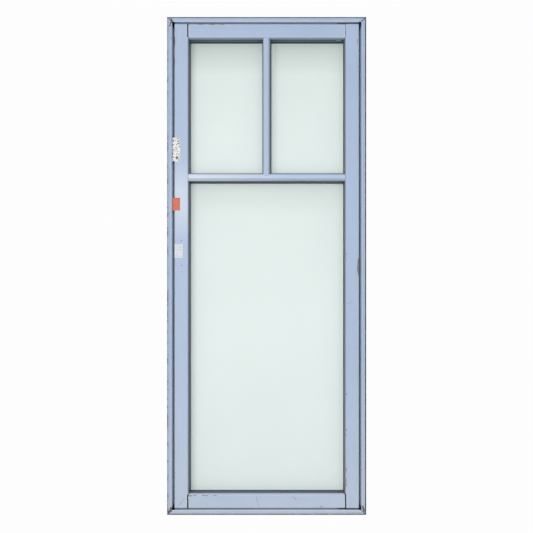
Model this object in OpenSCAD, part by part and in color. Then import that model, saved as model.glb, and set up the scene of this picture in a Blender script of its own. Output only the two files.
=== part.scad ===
// Side-hung casement window of painted timber: one sash in its mitred frame, a T of
// rounded glazing bars, three insulating glass units, a concealed pivot hinge at the
// right edge and a cremone bolt on the room side of the left stile.
// Millimetres. +X is right as seen from outside, +Y goes into the room, +Z is up.

/* [Frame] */
// Width over the jambs
frame_w = 600; // [560:1:900]
// Height over the head and sill
frame_h = 1500; // [1300:1:2000]
// Depth from outside to room side
frame_d = 115; // [110:1:140]
// Width of the strip beside the sash
frame_strip = 15; // [14:0.5:24]
// Width of a frame member behind the sash
frame_member = 34; // [32:0.5:37]
// Depth of the rebate that takes the sash
frame_rebate = 72; // [71:0.5:74]
// Chamfer on the outer front edge
frame_chamfer = 2.5; // [1:0.1:4]
// Round on the edge beside the sash
frame_arris = 1.5; // [0.5:0.1:3]
// Width of the shallow groove along the strip
quirk_w = 3; // [1.5:0.1:4]
// Depth of that groove
quirk_d = 0.8; // [0.3:0.1:1.2]

/* [Sash] */
// Gap between sash and jambs
sash_gap = 6; // [5:0.1:7]
// Gap between sash and head or sill
end_gap = 4.2; // [4:0.1:6]
// Distance of the sash face behind the frame's front
sash_setback = 6; // [4:0.1:8]
// Thickness of the sash
sash_thick = 62; // [61:0.5:64]
// Flat face of a stile or rail
sash_face = 40; // [36:0.5:50]
// Bevel between the face and the glass
bevel = 4; // [2:0.1:6]
// Round on the outer edge of the sash
sash_arris = 2.5; // [1:0.1:4]
// Depth of the solid lip in front of the glass
lip_depth = 25; // [22:0.5:27]
// Height of the glazing rebate behind the lip
rebate = 8; // [7:0.1:9]
// Open joint between a rail's shoulder and the stile
crack_w = 0.8; // [0.3:0.1:1.5]
// How deep that joint stands open
crack_depth = 6; // [2:0.5:12]
// Thickness of a rail's tenon
tenon_thick = 12; // [8:0.5:16]
// Length of a rail's tenon
tenon_len = 26; // [16:0.5:28]
// Shoulder above and below a tenon
tenon_inset = 6; // [4:0.5:9]
// Distance of a tenon behind the lip
tenon_back = 5; // [3:0.5:8]

/* [Glazing bars] */
// Width of a bar
bar_w = 24; // [21:0.5:30]
// Round on the front of a bar
bar_round = 7; // [4:0.1:8]
// Height of the transom bar's centre
transom_z = 1018; // [900:1:1100]
// Setback of the transom bar's crown from the sash face
transom_recess = 0.3; // [0.2:0.1:1]
// Setback of the mullion bar's crown from the sash face
mullion_recess = 0.8; // [0.6:0.1:2]
// Length of a bar's stub tenon
stub_len = 12; // [6:0.5:20]

/* [Glass] */
// Thickness of the gasket in front of the glass
gasket_t = 3; // [2:0.1:4]
// How far that gasket shows past the lip
gasket_show = 1.5; // [0.4:0.1:2]
// Thickness of a pane
pane_t = 4; // [3:0.5:5]
// Thickness of the spacer between two panes
spacer_t = 12; // [10:0.5:13]
// Height of the spacer
spacer_h = 7; // [6.5:0.5:12]
// How far a pane reaches behind the lip
pane_cover = 5.5; // [5:0.1:6]
// Thickness of the gasket behind the glass
back_gasket_t = 2; // [1.5:0.1:2.5]
// Gap between a gasket's edge and the rebate
gasket_gap = 1; // [0.5:0.1:2]
// Width of a glazing bead
bead_w = 10; // [9:0.5:14]
// Height of a bead's foot on the glass
bead_foot = 4; // [2:0.5:6]
// Width of a bead's back
bead_crown = 6; // [4:0.5:8]
// Length of a setting block under a pane
block_len = 40; // [25:1:60]

/* [Weather seal] */
// Distance of the seal from the sash's edge
seal_in = 9; // [8:0.1:10]
// Width of the seal's groove
groove_w = 4; // [3:0.1:5]
// Depth of the seal's groove
groove_d = 6; // [4:0.1:8]
// Gap between the seal's tip and the frame
seal_clear = 0.35; // [0.3:0.05:1]

/* [Pivots] */
// Distance of the pivot from the sash's edge
pivot_in = 11; // [10:0.1:12]
// Distance of the pivot behind the sash face
pivot_back = 9; // [8.5:0.1:11]
// Diameter of the pivot pin
pin_d = 8; // [6:0.1:8.5]
// Length of the pin inside its socket
pin_reach = 10; // [8:0.5:12]
// Outer diameter of the socket
socket_d = 11; // [10.6:0.1:11.6]
// Length of the socket
socket_len = 12.5; // [12.2:0.1:16]
// Width of a pivot plate
plate_w = 12; // [11.8:0.1:13]
// Length of a pivot plate
plate_l = 62; // [56:1:90]
// Thickness of a pivot plate
plate_t = 3; // [2.5:0.1:3.5]
// Distance of a pivot plate's end from the sash's edge
plate_end = 2; // [1:0.1:3]
// Distance of the first plate screw from the pivot
plate_screw_first = 18; // [16:0.5:22]
// Distance between the plate screws
plate_screw_step = 18; // [10:0.5:18]
// Length of the screws in the frame's pivot plate
pin_screw_l = 11; // [9:0.5:13]
// Length of the screws in the sash's pivot plate
socket_screw_l = 22; // [14:0.5:30]

/* [Cremone bolt] */
// Distance of the bolt's axis from the sash's edge
lock_in = 25; // [24.5:0.1:26]
// Height of the handle
lock_z = 750; // [600:1:950]
// Distance of the bolt's axis behind the sash
lock_out = 11; // [11:0.1:12]
// Width of a bolt
bolt_w = 8; // [6:0.1:8.5]
// Thickness of a bolt
bolt_t = 5; // [4:0.1:5.5]
// Gap between a bolt's end and the frame
bolt_clear = 2.5; // [2:0.1:4]
// Module of the pinion and racks
gear_m = 0.8; // [0.7:0.01:0.84]
// Teeth of the pinion
gear_teeth = 12; // [12:2:14]
// Slack between the teeth
backlash = 0.25; // [0.2:0.01:0.35]
// Thickness of a rack behind its teeth
rack_back = 1.8; // [1.4:0.1:2]
// Height of the yoke between rack and rod
yoke_h = 6; // [5:0.1:6.5]
// Length of rack past the last tooth in mesh
rack_spare = 1.5; // [1:0.1:2]
// Length of the gear cover
case_l = 64; // [64:1:90]
// Wall of the gear cover
case_wall = 1.2; // [0.8:0.1:1.4]
// Top of the gear cover
case_top = 2; // [1.5:0.1:3]
// Head room above the bolts in the gear cover
case_head = 2.5; // [1.5:0.1:4]
// Corner round of the gear cover
case_r = 3; // [1:0.1:4]
// Reach of the gear cover's flange at each end
flange_reach = 13; // [10:0.5:18]
// Thickness of that flange
flange_t = 1.5; // [1:0.1:2.5]
// Thickness of the gear's base plate
base_t = 2; // [1.5:0.1:3]
// Diameter of the boss under the handle
boss_d = 16; // [14:0.5:17]
// Height of that boss
boss_h = 2; // [1:0.1:4]
// Diameter of the pinion's journal
journal_d = 7; // [6.6:0.1:7.4]
// Gap between the pinion's flange and its teeth
pinion_relief = 0.5; // [0.3:0.1:1]
// Width of the square spindle
spindle_w = 4; // [3.5:0.1:4.2]
// Distance of the spindle's end from the sash
spindle_start = 1; // [0.5:0.1:2]
// Length of the handle from its pivot
lever_len = 112; // [90:1:140]
// Diameter of the handle's neck
neck_d = 10; // [9:0.1:11]
// Height of the handle's axis over the boss
lever_stand = 9; // [8:0.5:14]
// Height of the collar at the neck's foot
collar_h = 4; // [2:0.5:5]
// Radius of the handle's hub
hub_r = 7; // [6.5:0.1:7.5]
// Radius of the handle's waist
waist_r = 4; // [3.5:0.1:5]
// Length of the handle's waist
waist_l = 22; // [15:0.5:26]
// Radius of the handle's grip
grip_r = 6.5; // [5.5:0.1:7.5]
// Length of the handle's grip
grip_l = 50; // [40:1:60]
// Length of a bolt guide
guide_l = 12; // [8:0.5:20]
// Width of a bolt guide's foot
guide_w = 20; // [19:0.5:21]
// Wall of a bolt guide
guide_wall = 1.4; // [1:0.1:1.6]
// Distance of the outer guides from the frame's end
guide_end = 70; // [60:1:120]
// Distance of the inner guides from the frame's end
guide_inner = 400; // [300:1:480]

/* [Strike plates] */
// Width of a strike plate
strike_w = 20; // [18:0.5:22]
// Length of a strike plate
strike_l = 34; // [30:0.5:38]
// Thickness of a strike plate
strike_t = 2; // [1.5:0.1:3]
// Reach of a strike plate in front of the bolt's axis
strike_front = 5.5; // [4.5:0.1:6.5]
// Room below a thrown bolt
strike_spare = 3; // [1:0.1:5]
// Distance of the first strike screw from the bolt's axis
strike_screw_first = 12; // [10:0.5:13]
// Distance between the strike screws
strike_screw_step = 10; // [8:0.5:11]
// Length of a strike screw
strike_screw_l = 16; // [10:0.5:18]

/* [Fixings] */
// Diameter of the wall fixing holes in the jambs
wall_hole_d = 8.5; // [6:0.1:12]
// Distance of these holes behind the middle of the stop
wall_hole_y = 0.5; // [-6:0.5:6]
// Height of the lowest wall fixing hole
wall_hole_z = 150; // [120:1:250]
// Distance of the middle holes from mid-height
wall_hole_mid = 200; // [150:1:300]
// Diameter of the corner screws
corner_screw_d = 5; // [4:0.1:6]
// Length of the corner screws
corner_screw_l = 70; // [60:1:90]
// Diameter of the small screws
screw_d = 3.2; // [2.5:0.1:3.5]
// Diameter of the screws of the gear cover and guides
small_screw_d = 2.5; // [2:0.1:2.8]
// Length of the gear cover's screws
case_screw_l = 20; // [14:0.5:28]
// Length of the guides' screws
guide_screw_l = 18; // [12:0.5:26]

/* [Clearances] */
// Radial clearance of a turning pin
pin_fit = 0.05; // [0.02:0.01:0.1]
// Clearance of a sliding bolt in its guide
slide_fit = 0.2; // [0.1:0.01:0.3]
// Clearance of a bolt in its strike plate
strike_fit = 0.4; // [0.2:0.05:0.6]
// Clearance of a let-in or tenoned piece
joint_fit = 0.1; // [0.05:0.01:0.2]
// Clearance of a screw in its hole
screw_fit = 0.05; // [0.02:0.01:0.1]
// Gap between mitred strips
mitre_gap = 0.2; // [0.1:0.05:0.4]

/* [Hidden] */
$fn = 48;
// How far a cut runs past a face
over = 1;
front_y = -frame_d / 2;
face_y = front_y + sash_setback;
back_y = face_y + sash_thick;
sash_x = frame_w / 2 - frame_strip - sash_gap;
sash_z0 = frame_strip + end_gap;
sash_z1 = frame_h - sash_z0;
lip_w = sash_face + bevel;
wall_w = lip_w - rebate;
wall_x = sash_x - wall_w;
web_w = bar_w - 2 * rebate;
tenon_v = lip_depth + tenon_back;
stub_h = web_w - 2 * joint_fit;

pane_v = lip_depth + gasket_t;
spacer_v = pane_v + pane_t;
inner_v = spacer_v + spacer_t;
back_gasket_v = inner_v + pane_t;
bead_v = back_gasket_v + back_gasket_t;
gasket_edge = rebate - gasket_gap;

pivot_x = sash_x - pivot_in;
pivot_y = face_y + pivot_back;
plate_nose = pivot_in - plate_end;
plate_screw_at = [plate_screw_first, plate_screw_first + plate_screw_step];
washer_d = socket_d;

lock_x = -sash_x + lock_in;
lock_y = back_y + lock_out;
gear_r = gear_m * gear_teeth / 2;
gear_pitch = PI * gear_m;
// Addendum, dedendum and tooth shape as shares of the module or of the tooth's width
gear_add = 0.9 * gear_m;
gear_ded = 1.25 * gear_m;
pressure_angle = 20;
tooth_tip = 0.24;
tooth_flank = 0.58;
tooth_root = 0.62;
tooth_sink = 0.3 * gear_m;
tooth_w = gear_pitch / 2 - backlash;
throw = gear_r * PI / 2;
rack_out = gear_r + gear_ded + rack_back;
rack_low = throw + gear_r + rack_spare;
flange_l = case_l + 2 * flange_reach;
case_w = 2 * (rack_out + slide_fit + case_wall);
case_h = lock_out + bolt_t / 2 + case_head + case_top;
lever_y = case_h + boss_h + lever_stand;
guide_z = [guide_end, guide_inner, frame_h - guide_inner, frame_h - guide_end];
strike_depth = throw - bolt_clear + strike_spare;
strike_screw_at = [strike_screw_first, strike_screw_first + strike_screw_step];
// The stop is the part of a frame member behind the sash
stop_d = frame_d - frame_rebate;
stop_mid = frame_rebate + stop_d / 2;
corner_screw_y = [stop_mid - stop_d / 4, stop_mid + stop_d / 4];
// Setting blocks stand this share of a light's width from its sides
block_place = 1 / 5;
// Shape of a countersunk screw, in shank diameters
screw_rim = 0.12;
screw_cone = 0.62;

WOOD = [0.69, 0.76, 0.86];
STEEL = [0.66, 0.67, 0.68];
BRASS = [0.72, 0.58, 0.32];
RUBBER = [0.2, 0.24, 0.27];
NYLON = [0.16, 0.17, 0.18];
ALLOY = [0.72, 0.74, 0.75];
CLEAR = [0.86, 0.92, 0.92, 0.35];
FROSTED = [0.9, 0.94, 0.93, 0.7];

UPPER_LEFT = [-sash_x + lip_w, transom_z + bar_w / 2, -bar_w / 2, sash_z1 - lip_w];
UPPER_RIGHT = [bar_w / 2, transom_z + bar_w / 2, sash_x - lip_w, sash_z1 - lip_w];
LOWER = [-sash_x + lip_w, sash_z0 + lip_w, sash_x - lip_w, transom_z - bar_w / 2];
SASH = [-sash_x, sash_z0, sash_x, sash_z1];

// A rectangle in the plane of the window, as [x0, z0, x1, z1], grown on every side.
function grown(r, d) = [r[0] - d, r[1] - d, r[2] + d, r[3] + d];

// Cutter that rounds a profile's corner at the origin, with the material towards +x and +y.
module corner_round(r) {
    difference() {
        translate([-over, -over]) square(r + over);
        translate([r, r]) circle(r);
    }
}

// A straight run of a profile along +Z, with both ends mitred towards +X.
module mitred(length, width, depth, gap) {
    g = gap / 2 * sqrt(2);
    intersection() {
        linear_extrude(length) children();
        translate([0, depth + over, 0]) rotate([90, 0, 0]) linear_extrude(depth + 2 * over)
            polygon([
                [-over, g - over], [width + over, g + width + over],
                [width + over, length - width - over - g], [-over, length + over - g]
            ]);
    }
}

// One side of a rectangle, made of a mitred profile whose +x points inwards.
module side(name, r, width, depth, gap = 0) {
    w = r[2] - r[0];
    h = r[3] - r[1];
    if (name == "left")
        translate([r[0], 0, r[1]]) mitred(h, width, depth, gap) children();
    if (name == "right")
        translate([r[2], 0, r[1]]) mirror([1, 0, 0]) mitred(h, width, depth, gap) children();
    if (name == "bottom")
        translate([r[2], 0, r[1]]) rotate([0, -90, 0]) mitred(w, width, depth, gap) children();
    if (name == "top")
        translate([r[2], 0, r[3]]) mirror([0, 0, 1]) rotate([0, -90, 0])
            mitred(w, width, depth, gap) children();
}

module all_sides(r, width, depth, gap) {
    for (name = ["left", "right", "bottom", "top"]) side(name, r, width, depth, gap) children();
}

// A plate that fills a rectangle between two depths.
module slab(r, v0, v1) {
    translate([r[0], v0, r[1]]) cube([r[2] - r[0], v1 - v0, r[3] - r[1]]);
}

module ring(outer, inner, v0, v1) {
    difference() {
        slab(outer, v0, v1);
        slab(inner, v0 - over, v1 + over);
    }
}

// The same thing at the top of the window, mirrored about mid-height.
module at_top() {
    translate([0, 0, frame_h]) mirror([0, 0, 1]) children();
}

// Countersunk screw with its head at the origin, driven along -Z; grow makes its hole.
module screw(d, length, grow = 0) {
    r = d / 2 + grow;
    head = d + grow;
    rotate_extrude() polygon([
        [0, grow], [head, grow], [head, -d * screw_rim], [r, -d * screw_cone],
        [r, -length + d], [0, -length - grow]
    ]);
}

// Frame

module frame_profile() {
    quirk_r = (quirk_w * quirk_w / 4 + quirk_d * quirk_d) / (2 * quirk_d);
    difference() {
        polygon([
            [0, frame_chamfer], [frame_chamfer, 0], [frame_strip, 0], [frame_strip, frame_rebate],
            [frame_member, frame_rebate], [frame_member, frame_d], [0, frame_d]
        ]);
        translate([frame_strip, 0]) mirror([1, 0]) corner_round(frame_arris);
        translate([frame_strip / 2, quirk_d - quirk_r]) circle(quirk_r);
    }
}

module frame_side(name) {
    color(WOOD) difference() {
        translate([0, front_y, 0])
            side(name, [-frame_w / 2, 0, frame_w / 2, frame_h], frame_member, frame_d) frame_profile();
        corner_screw_set(screw_fit);
        if (name == "left" || name == "right") wall_holes();
        if (name == "bottom") sill_cuts();
        if (name == "top") at_top() sill_cuts();
    }
}

module wall_holes() {
    mid = frame_h / 2;
    for (z = [wall_hole_z, mid - wall_hole_mid, mid + wall_hole_mid, frame_h - wall_hole_z])
        translate([-frame_w / 2 - over, front_y + stop_mid + wall_hole_y, z]) rotate([0, 90, 0])
            cylinder(d = wall_hole_d, h = frame_w + 2 * over);
}

module corner_screw_set(grow) {
    for (turn = [0, 1]) mirror([turn, 0, 0])
        for (y = corner_screw_y, z = [frame_member / 2, frame_h - frame_member / 2])
            translate([-frame_w / 2, front_y + y, z]) rotate([0, -90, 0])
                screw(corner_screw_d, corner_screw_l, grow);
}

// What is let into the sill: the pivot plate, the strike plate, its pocket and the screws.
module sill_cuts() {
    translate([0, 0, frame_strip - plate_t]) pivot_plate(joint_fit, plate_t + over);
    pin_plate_screws(screw_fit);
    translate([0, 0, frame_member - strike_t]) strike_blank(joint_fit, strike_t + over);
    translate([lock_x, lock_y, frame_member - strike_t - strike_depth]) strike_slot(strike_depth + over);
    strike_plate_screws(screw_fit);
}

module head() frame_side("top");
module sill() frame_side("bottom");
module left_jamb() frame_side("left");
module right_jamb() frame_side("right");
module corner_screws() color(STEEL) corner_screw_set(0);

// Pivots

// Outline of a pivot plate standing on Z = 0, with the pivot near its right end.
module pivot_plate(grow, height) {
    translate([pivot_x + plate_nose - plate_l - grow, pivot_y - plate_w / 2 - grow, 0])
        cube([plate_l + 2 * grow, plate_w + 2 * grow, height]);
}

module pin_plate_screws(grow) {
    for (d = plate_screw_at) translate([pivot_x - d, pivot_y, frame_strip]) screw(screw_d, pin_screw_l, grow);
}

module socket_plate_screws(grow) {
    for (d = plate_screw_at) translate([pivot_x - d, pivot_y, sash_z0]) mirror([0, 0, 1])
        screw(screw_d, socket_screw_l, grow);
}

module pivot_pin() {
    color(STEEL) difference() {
        union() {
            translate([0, 0, frame_strip - plate_t]) pivot_plate(0, plate_t);
            translate([pivot_x, pivot_y, frame_strip - plate_t])
                cylinder(d = pin_d, h = plate_t + end_gap + pin_reach);
        }
        pin_plate_screws(screw_fit);
    }
}

module pivot_socket() {
    color(STEEL) difference() {
        union() {
            translate([0, 0, sash_z0]) pivot_plate(0, plate_t);
            translate([pivot_x, pivot_y, sash_z0]) cylinder(d = socket_d, h = socket_len);
        }
        translate([pivot_x, pivot_y, sash_z0 - over])
            cylinder(d = pin_d + 2 * pin_fit, h = socket_len + 2 * over);
        socket_plate_screws(screw_fit);
    }
}

// Room that the socket and its plate take up in the sash.
module socket_room() {
    translate([0, 0, sash_z0 - over]) pivot_plate(joint_fit, plate_t + over);
    translate([pivot_x, pivot_y, sash_z0]) cylinder(d = socket_d + 2 * joint_fit, h = socket_len);
    socket_plate_screws(screw_fit);
}

module pivot_washer() {
    translate([pivot_x, pivot_y, frame_strip]) difference() {
        cylinder(d = washer_d, h = end_gap);
        translate([0, 0, -over]) cylinder(d = pin_d + 2 * joint_fit, h = end_gap + 2 * over);
    }
}

module lower_pivot_pin() pivot_pin();
module upper_pivot_pin() at_top() pivot_pin();
module lower_pivot_socket() pivot_socket();
module upper_pivot_socket() at_top() pivot_socket();

module pivot_pin_screws() color(STEEL) {
    pin_plate_screws(0);
    at_top() pin_plate_screws(0);
}

module pivot_socket_screws() color(STEEL) {
    socket_plate_screws(0);
    at_top() socket_plate_screws(0);
}

module pivot_washers() color(NYLON) {
    pivot_washer();
    at_top() pivot_washer();
}

// Strike plates

module strike_blank(grow, height) {
    translate([lock_x - strike_w / 2 - grow, lock_y - strike_front - grow, 0])
        cube([strike_w + 2 * grow, strike_l + 2 * grow, height]);
}

module strike_slot(height) {
    w = bolt_w + 2 * strike_fit;
    t = bolt_t + 2 * strike_fit;
    translate([-w / 2, -t / 2, 0]) cube([w, t, height]);
}

module strike_plate_screws(grow) {
    for (d = strike_screw_at) translate([lock_x, lock_y + d, frame_member])
        screw(screw_d, strike_screw_l, grow);
}

module strike_plate() {
    color(BRASS) difference() {
        translate([0, 0, frame_member - strike_t]) strike_blank(0, strike_t);
        translate([lock_x, lock_y, frame_member - strike_t - over]) strike_slot(strike_t + 2 * over);
        strike_plate_screws(screw_fit);
    }
}

module lower_strike_plate() strike_plate();
module upper_strike_plate() at_top() strike_plate();

module strike_screws() color(BRASS) {
    strike_plate_screws(0);
    at_top() strike_plate_screws(0);
}

// Sash

module sash_profile() {
    difference() {
        polygon([
            [0, 0], [sash_face, 0], [lip_w, bevel], [lip_w, lip_depth],
            [wall_w, lip_depth], [wall_w, sash_thick], [0, sash_thick]
        ]);
        corner_round(sash_arris);
    }
}

module left_stile_blank() {
    translate([-sash_x, 0, sash_z0]) linear_extrude(sash_z1 - sash_z0) sash_profile();
}

module stile_blanks(shift = 0) {
    translate([shift, 0, 0]) left_stile_blank();
    mirror([1, 0, 0]) translate([shift, 0, 0]) left_stile_blank();
}

module bottom_rail_blank() {
    translate([wall_x, 0, sash_z0]) rotate([0, -90, 0]) linear_extrude(2 * wall_x) sash_profile();
}

// The two tenons of the bottom rail; grow makes their mortises.
module rail_tenons(grow) {
    z0 = sash_z0 + groove_w + tenon_inset;
    for (turn = [0, 1]) mirror([turn, 0, 0])
        translate([wall_x, tenon_v - grow, z0 - grow])
            cube([tenon_len + grow, tenon_thick + 2 * grow, wall_w - groove_w - 2 * tenon_inset + 2 * grow]);
}

module transom_stubs(grow) {
    for (turn = [0, 1]) mirror([turn, 0, 0])
        translate([wall_x, tenon_v - grow, transom_z - stub_h / 2 - grow])
            cube([stub_len + grow, tenon_thick + 2 * grow, stub_h + 2 * grow]);
}

module mullion_stub(grow) {
    translate([-stub_h / 2 - grow, tenon_v - grow, sash_z1 - wall_w])
        cube([stub_h + 2 * grow, tenon_thick + 2 * grow, stub_len + grow]);
}

module seal_groove() {
    ring(grown(SASH, -seal_in + groove_w / 2), grown(SASH, -seal_in - groove_w / 2),
        sash_thick - groove_d, sash_thick + over);
}

// A stile in the sash's own depth, with its mortises.
module stile(turn) {
    difference() {
        mirror([turn, 0, 0]) left_stile_blank();
        seal_groove();
        rail_tenons(joint_fit);
        at_top() rail_tenons(joint_fit);
        transom_stubs(joint_fit);
    }
}

module lock_stile() {
    color(WOOD) difference() {
        translate([0, face_y, 0]) stile(0);
        gear_screws(screw_fit);
        guide_screw_set(screw_fit);
    }
}

module hinge_stile() {
    color(WOOD) difference() {
        translate([0, face_y, 0]) stile(1);
        socket_room();
        at_top() socket_room();
    }
}

// The bottom rail in the sash's own depth, scribed over the stiles' bevels.
module rail() {
    difference() {
        bottom_rail_blank();
        stile_blanks();
        intersection() {
            stile_blanks(crack_w);
            slab(grown(SASH, over), -over, crack_depth);
        }
        seal_groove();
    }
    rail_tenons(0);
}

module bottom_rail() {
    color(WOOD) difference() {
        translate([0, face_y, 0]) rail();
        socket_room();
    }
}

module top_rail() {
    color(WOOD) difference() {
        translate([0, face_y, 0]) difference() {
            at_top() rail();
            mullion_stub(joint_fit);
        }
        at_top() socket_room();
    }
}

// Glazing bars

module bar_profile(recess) {
    half = bar_w / 2;
    flat = half - bar_round;
    for (x = [-flat, flat]) translate([x, recess + bar_round]) circle(bar_round);
    translate([-flat, recess]) square([2 * flat, lip_depth - recess]);
    translate([-half, recess + bar_round]) square([bar_w, lip_depth - recess - bar_round]);
    translate([-web_w / 2, recess + bar_round]) square([web_w, sash_thick - recess - bar_round]);
}

module transom_blank() {
    translate([wall_x, 0, transom_z]) rotate([0, -90, 0]) linear_extrude(2 * wall_x)
        bar_profile(transom_recess);
}

module transom_bar() {
    color(WOOD) translate([0, face_y, 0]) {
        difference() {
            transom_blank();
            stile_blanks();
        }
        transom_stubs(0);
    }
}

module mullion_bar() {
    color(WOOD) translate([0, face_y, 0]) {
        difference() {
            translate([0, 0, transom_z]) linear_extrude(sash_z1 - wall_w - transom_z)
                bar_profile(mullion_recess);
            at_top() bottom_rail_blank();
            transom_blank();
        }
        mullion_stub(0);
    }
}

// Weather seal in the back of the sash

module seal_profile() {
    tip = frame_rebate - sash_setback - seal_clear;
    bulb = groove_w / 2;
    stem = groove_w - 2 * joint_fit;
    translate([seal_in - stem / 2, sash_thick - groove_d + joint_fit]) square([stem, groove_d - joint_fit]);
    translate([seal_in, tip - bulb]) circle(bulb);
}

module weather_seal() {
    color(RUBBER) translate([0, face_y, 0])
        all_sides(SASH, seal_in + groove_w, sash_thick + bevel, mitre_gap) seal_profile();
}

// Glass units

module outer_pane(light) {
    color(FROSTED) translate([0, face_y, 0]) slab(grown(light, pane_cover), pane_v, spacer_v);
}

module inner_pane(light) {
    color(CLEAR) translate([0, face_y, 0]) slab(grown(light, pane_cover), inner_v, back_gasket_v);
}

module spacer(light) {
    color(ALLOY) translate([0, face_y, 0])
        ring(grown(light, pane_cover), grown(light, pane_cover - spacer_h), spacer_v, inner_v);
}

module front_gasket(light) {
    color(RUBBER) translate([0, face_y, 0])
        ring(grown(light, gasket_edge), grown(light, -gasket_show), lip_depth, pane_v);
}

module back_gasket(light) {
    color(RUBBER) translate([0, face_y, 0])
        ring(grown(light, gasket_edge), grown(light, rebate - bead_w + joint_fit), back_gasket_v, bead_v);
}

module bead_profile() {
    polygon([
        [0, bead_v], [bead_w, bead_v], [bead_w, bead_v + bead_foot], [bead_crown, sash_thick], [0, sash_thick]
    ]);
}

module beads(light) {
    color(WOOD) translate([0, face_y, 0])
        all_sides(grown(light, rebate), bead_w, sash_thick, mitre_gap) bead_profile();
}

module setting_blocks() {
    color(NYLON) translate([0, face_y, 0])
        for (light = [UPPER_LEFT, UPPER_RIGHT, LOWER]) {
            inset = (light[2] - light[0]) * block_place;
            for (x = [light[0] + inset, light[2] - inset])
                translate([x - block_len / 2, pane_v, light[1] - rebate])
                    cube([block_len, back_gasket_v - pane_v, rebate - pane_cover]);
        }
}

module upper_left_outer_pane() outer_pane(UPPER_LEFT);
module upper_left_inner_pane() inner_pane(UPPER_LEFT);
module upper_left_spacer() spacer(UPPER_LEFT);
module upper_left_front_gasket() front_gasket(UPPER_LEFT);
module upper_left_back_gasket() back_gasket(UPPER_LEFT);
module upper_left_beads() beads(UPPER_LEFT);
module upper_right_outer_pane() outer_pane(UPPER_RIGHT);
module upper_right_inner_pane() inner_pane(UPPER_RIGHT);
module upper_right_spacer() spacer(UPPER_RIGHT);
module upper_right_front_gasket() front_gasket(UPPER_RIGHT);
module upper_right_back_gasket() back_gasket(UPPER_RIGHT);
module upper_right_beads() beads(UPPER_RIGHT);
module lower_outer_pane() outer_pane(LOWER);
module lower_inner_pane() inner_pane(LOWER);
module lower_spacer() spacer(LOWER);
module lower_front_gasket() front_gasket(LOWER);
module lower_back_gasket() back_gasket(LOWER);
module lower_beads() beads(LOWER);

// Cremone bolt

// Puts a shape at the handle's axis on the back of the sash, with +Z of the shape pointing into the room.
module on_lock() {
    translate([lock_x, back_y, lock_z]) rotate([-90, 0, 0]) children();
}

module round_rect(w, l, r) {
    square([w - 2 * r, l], center = true);
    square([w, l - 2 * r], center = true);
    for (x = [-1, 1], y = [-1, 1]) translate([x * (w / 2 - r), y * (l / 2 - r)]) circle(r);
}

module gear_screws(grow) {
    x = case_w / 2 - case_r;
    z = (case_l + flange_l) / 4;
    on_lock() for (sx = [-1, 1], sz = [-1, 1])
        translate([sx * x, sz * z, base_t + flange_t]) screw(small_screw_d, case_screw_l, grow);
}

module gear_base_plate() {
    color(STEEL) difference() {
        on_lock() difference() {
            linear_extrude(base_t) round_rect(case_w, flange_l, case_r);
            translate([0, 0, -over]) cylinder(d = journal_d + 2 * pin_fit, h = base_t + 2 * over);
        }
        gear_screws(screw_fit);
    }
}

module gear_cover() {
    room_w = case_w - 2 * case_wall;
    room_l = case_l - 2 * case_wall;
    slot_w = bolt_w + 2 * slide_fit;
    slot_t = bolt_t + 2 * slide_fit;
    color(STEEL) difference() {
        on_lock() difference() {
            union() {
                translate([0, 0, base_t]) linear_extrude(flange_t) round_rect(case_w, flange_l, case_r);
                translate([0, 0, base_t]) linear_extrude(case_h - base_t) round_rect(case_w, case_l, case_r);
                translate([0, 0, case_h - case_top]) cylinder(d = boss_d, h = case_top + boss_h);
            }
            translate([-room_w / 2, -room_l / 2, -over]) cube([room_w, room_l, case_h - case_top + over]);
            cylinder(d = neck_d + 2 * pin_fit, h = case_h + boss_h + over);
            translate([-slot_w / 2, -case_l, lock_out - slot_t / 2]) cube([slot_w, 2 * case_l, slot_t]);
        }
        gear_screws(screw_fit);
    }
}

module gear_cover_screws() color(STEEL) gear_screws(0);

module pinion_tooth() {
    foot = gear_r - gear_ded - tooth_sink;
    flank = gear_r - gear_ded / 2;
    tip = gear_r + gear_add;
    polygon([
        [foot, -tooth_w * tooth_root], [flank, -tooth_w * tooth_flank], [gear_r, -tooth_w / 2],
        [tip, -tooth_w * tooth_tip], [tip, tooth_w * tooth_tip],
        [gear_r, tooth_w / 2], [flank, tooth_w * tooth_flank], [foot, tooth_w * tooth_root]
    ]);
}

module pinion() {
    gear_z = lock_out - bolt_t / 2;
    hole = spindle_w + 2 * joint_fit;
    color(BRASS) on_lock() difference() {
        union() {
            translate([0, 0, gear_z]) linear_extrude(bolt_t) {
                circle(gear_r - gear_ded);
                for (k = [0 : gear_teeth - 1]) rotate(k * 360 / gear_teeth) pinion_tooth();
            }
            translate([0, 0, base_t + slide_fit])
                cylinder(r = gear_r + gear_add, h = gear_z - base_t - slide_fit - pinion_relief);
            cylinder(d = journal_d, h = gear_z);
        }
        translate([0, 0, gear_z + bolt_t / 2]) cube([hole, hole, 2 * gear_z + bolt_t], center = true);
    }
}

module handle_spindle() {
    color(STEEL) on_lock()
        translate([-spindle_w / 2, -spindle_w / 2, spindle_start])
            cube([spindle_w, spindle_w, lever_y - spindle_start]);
}

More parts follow.
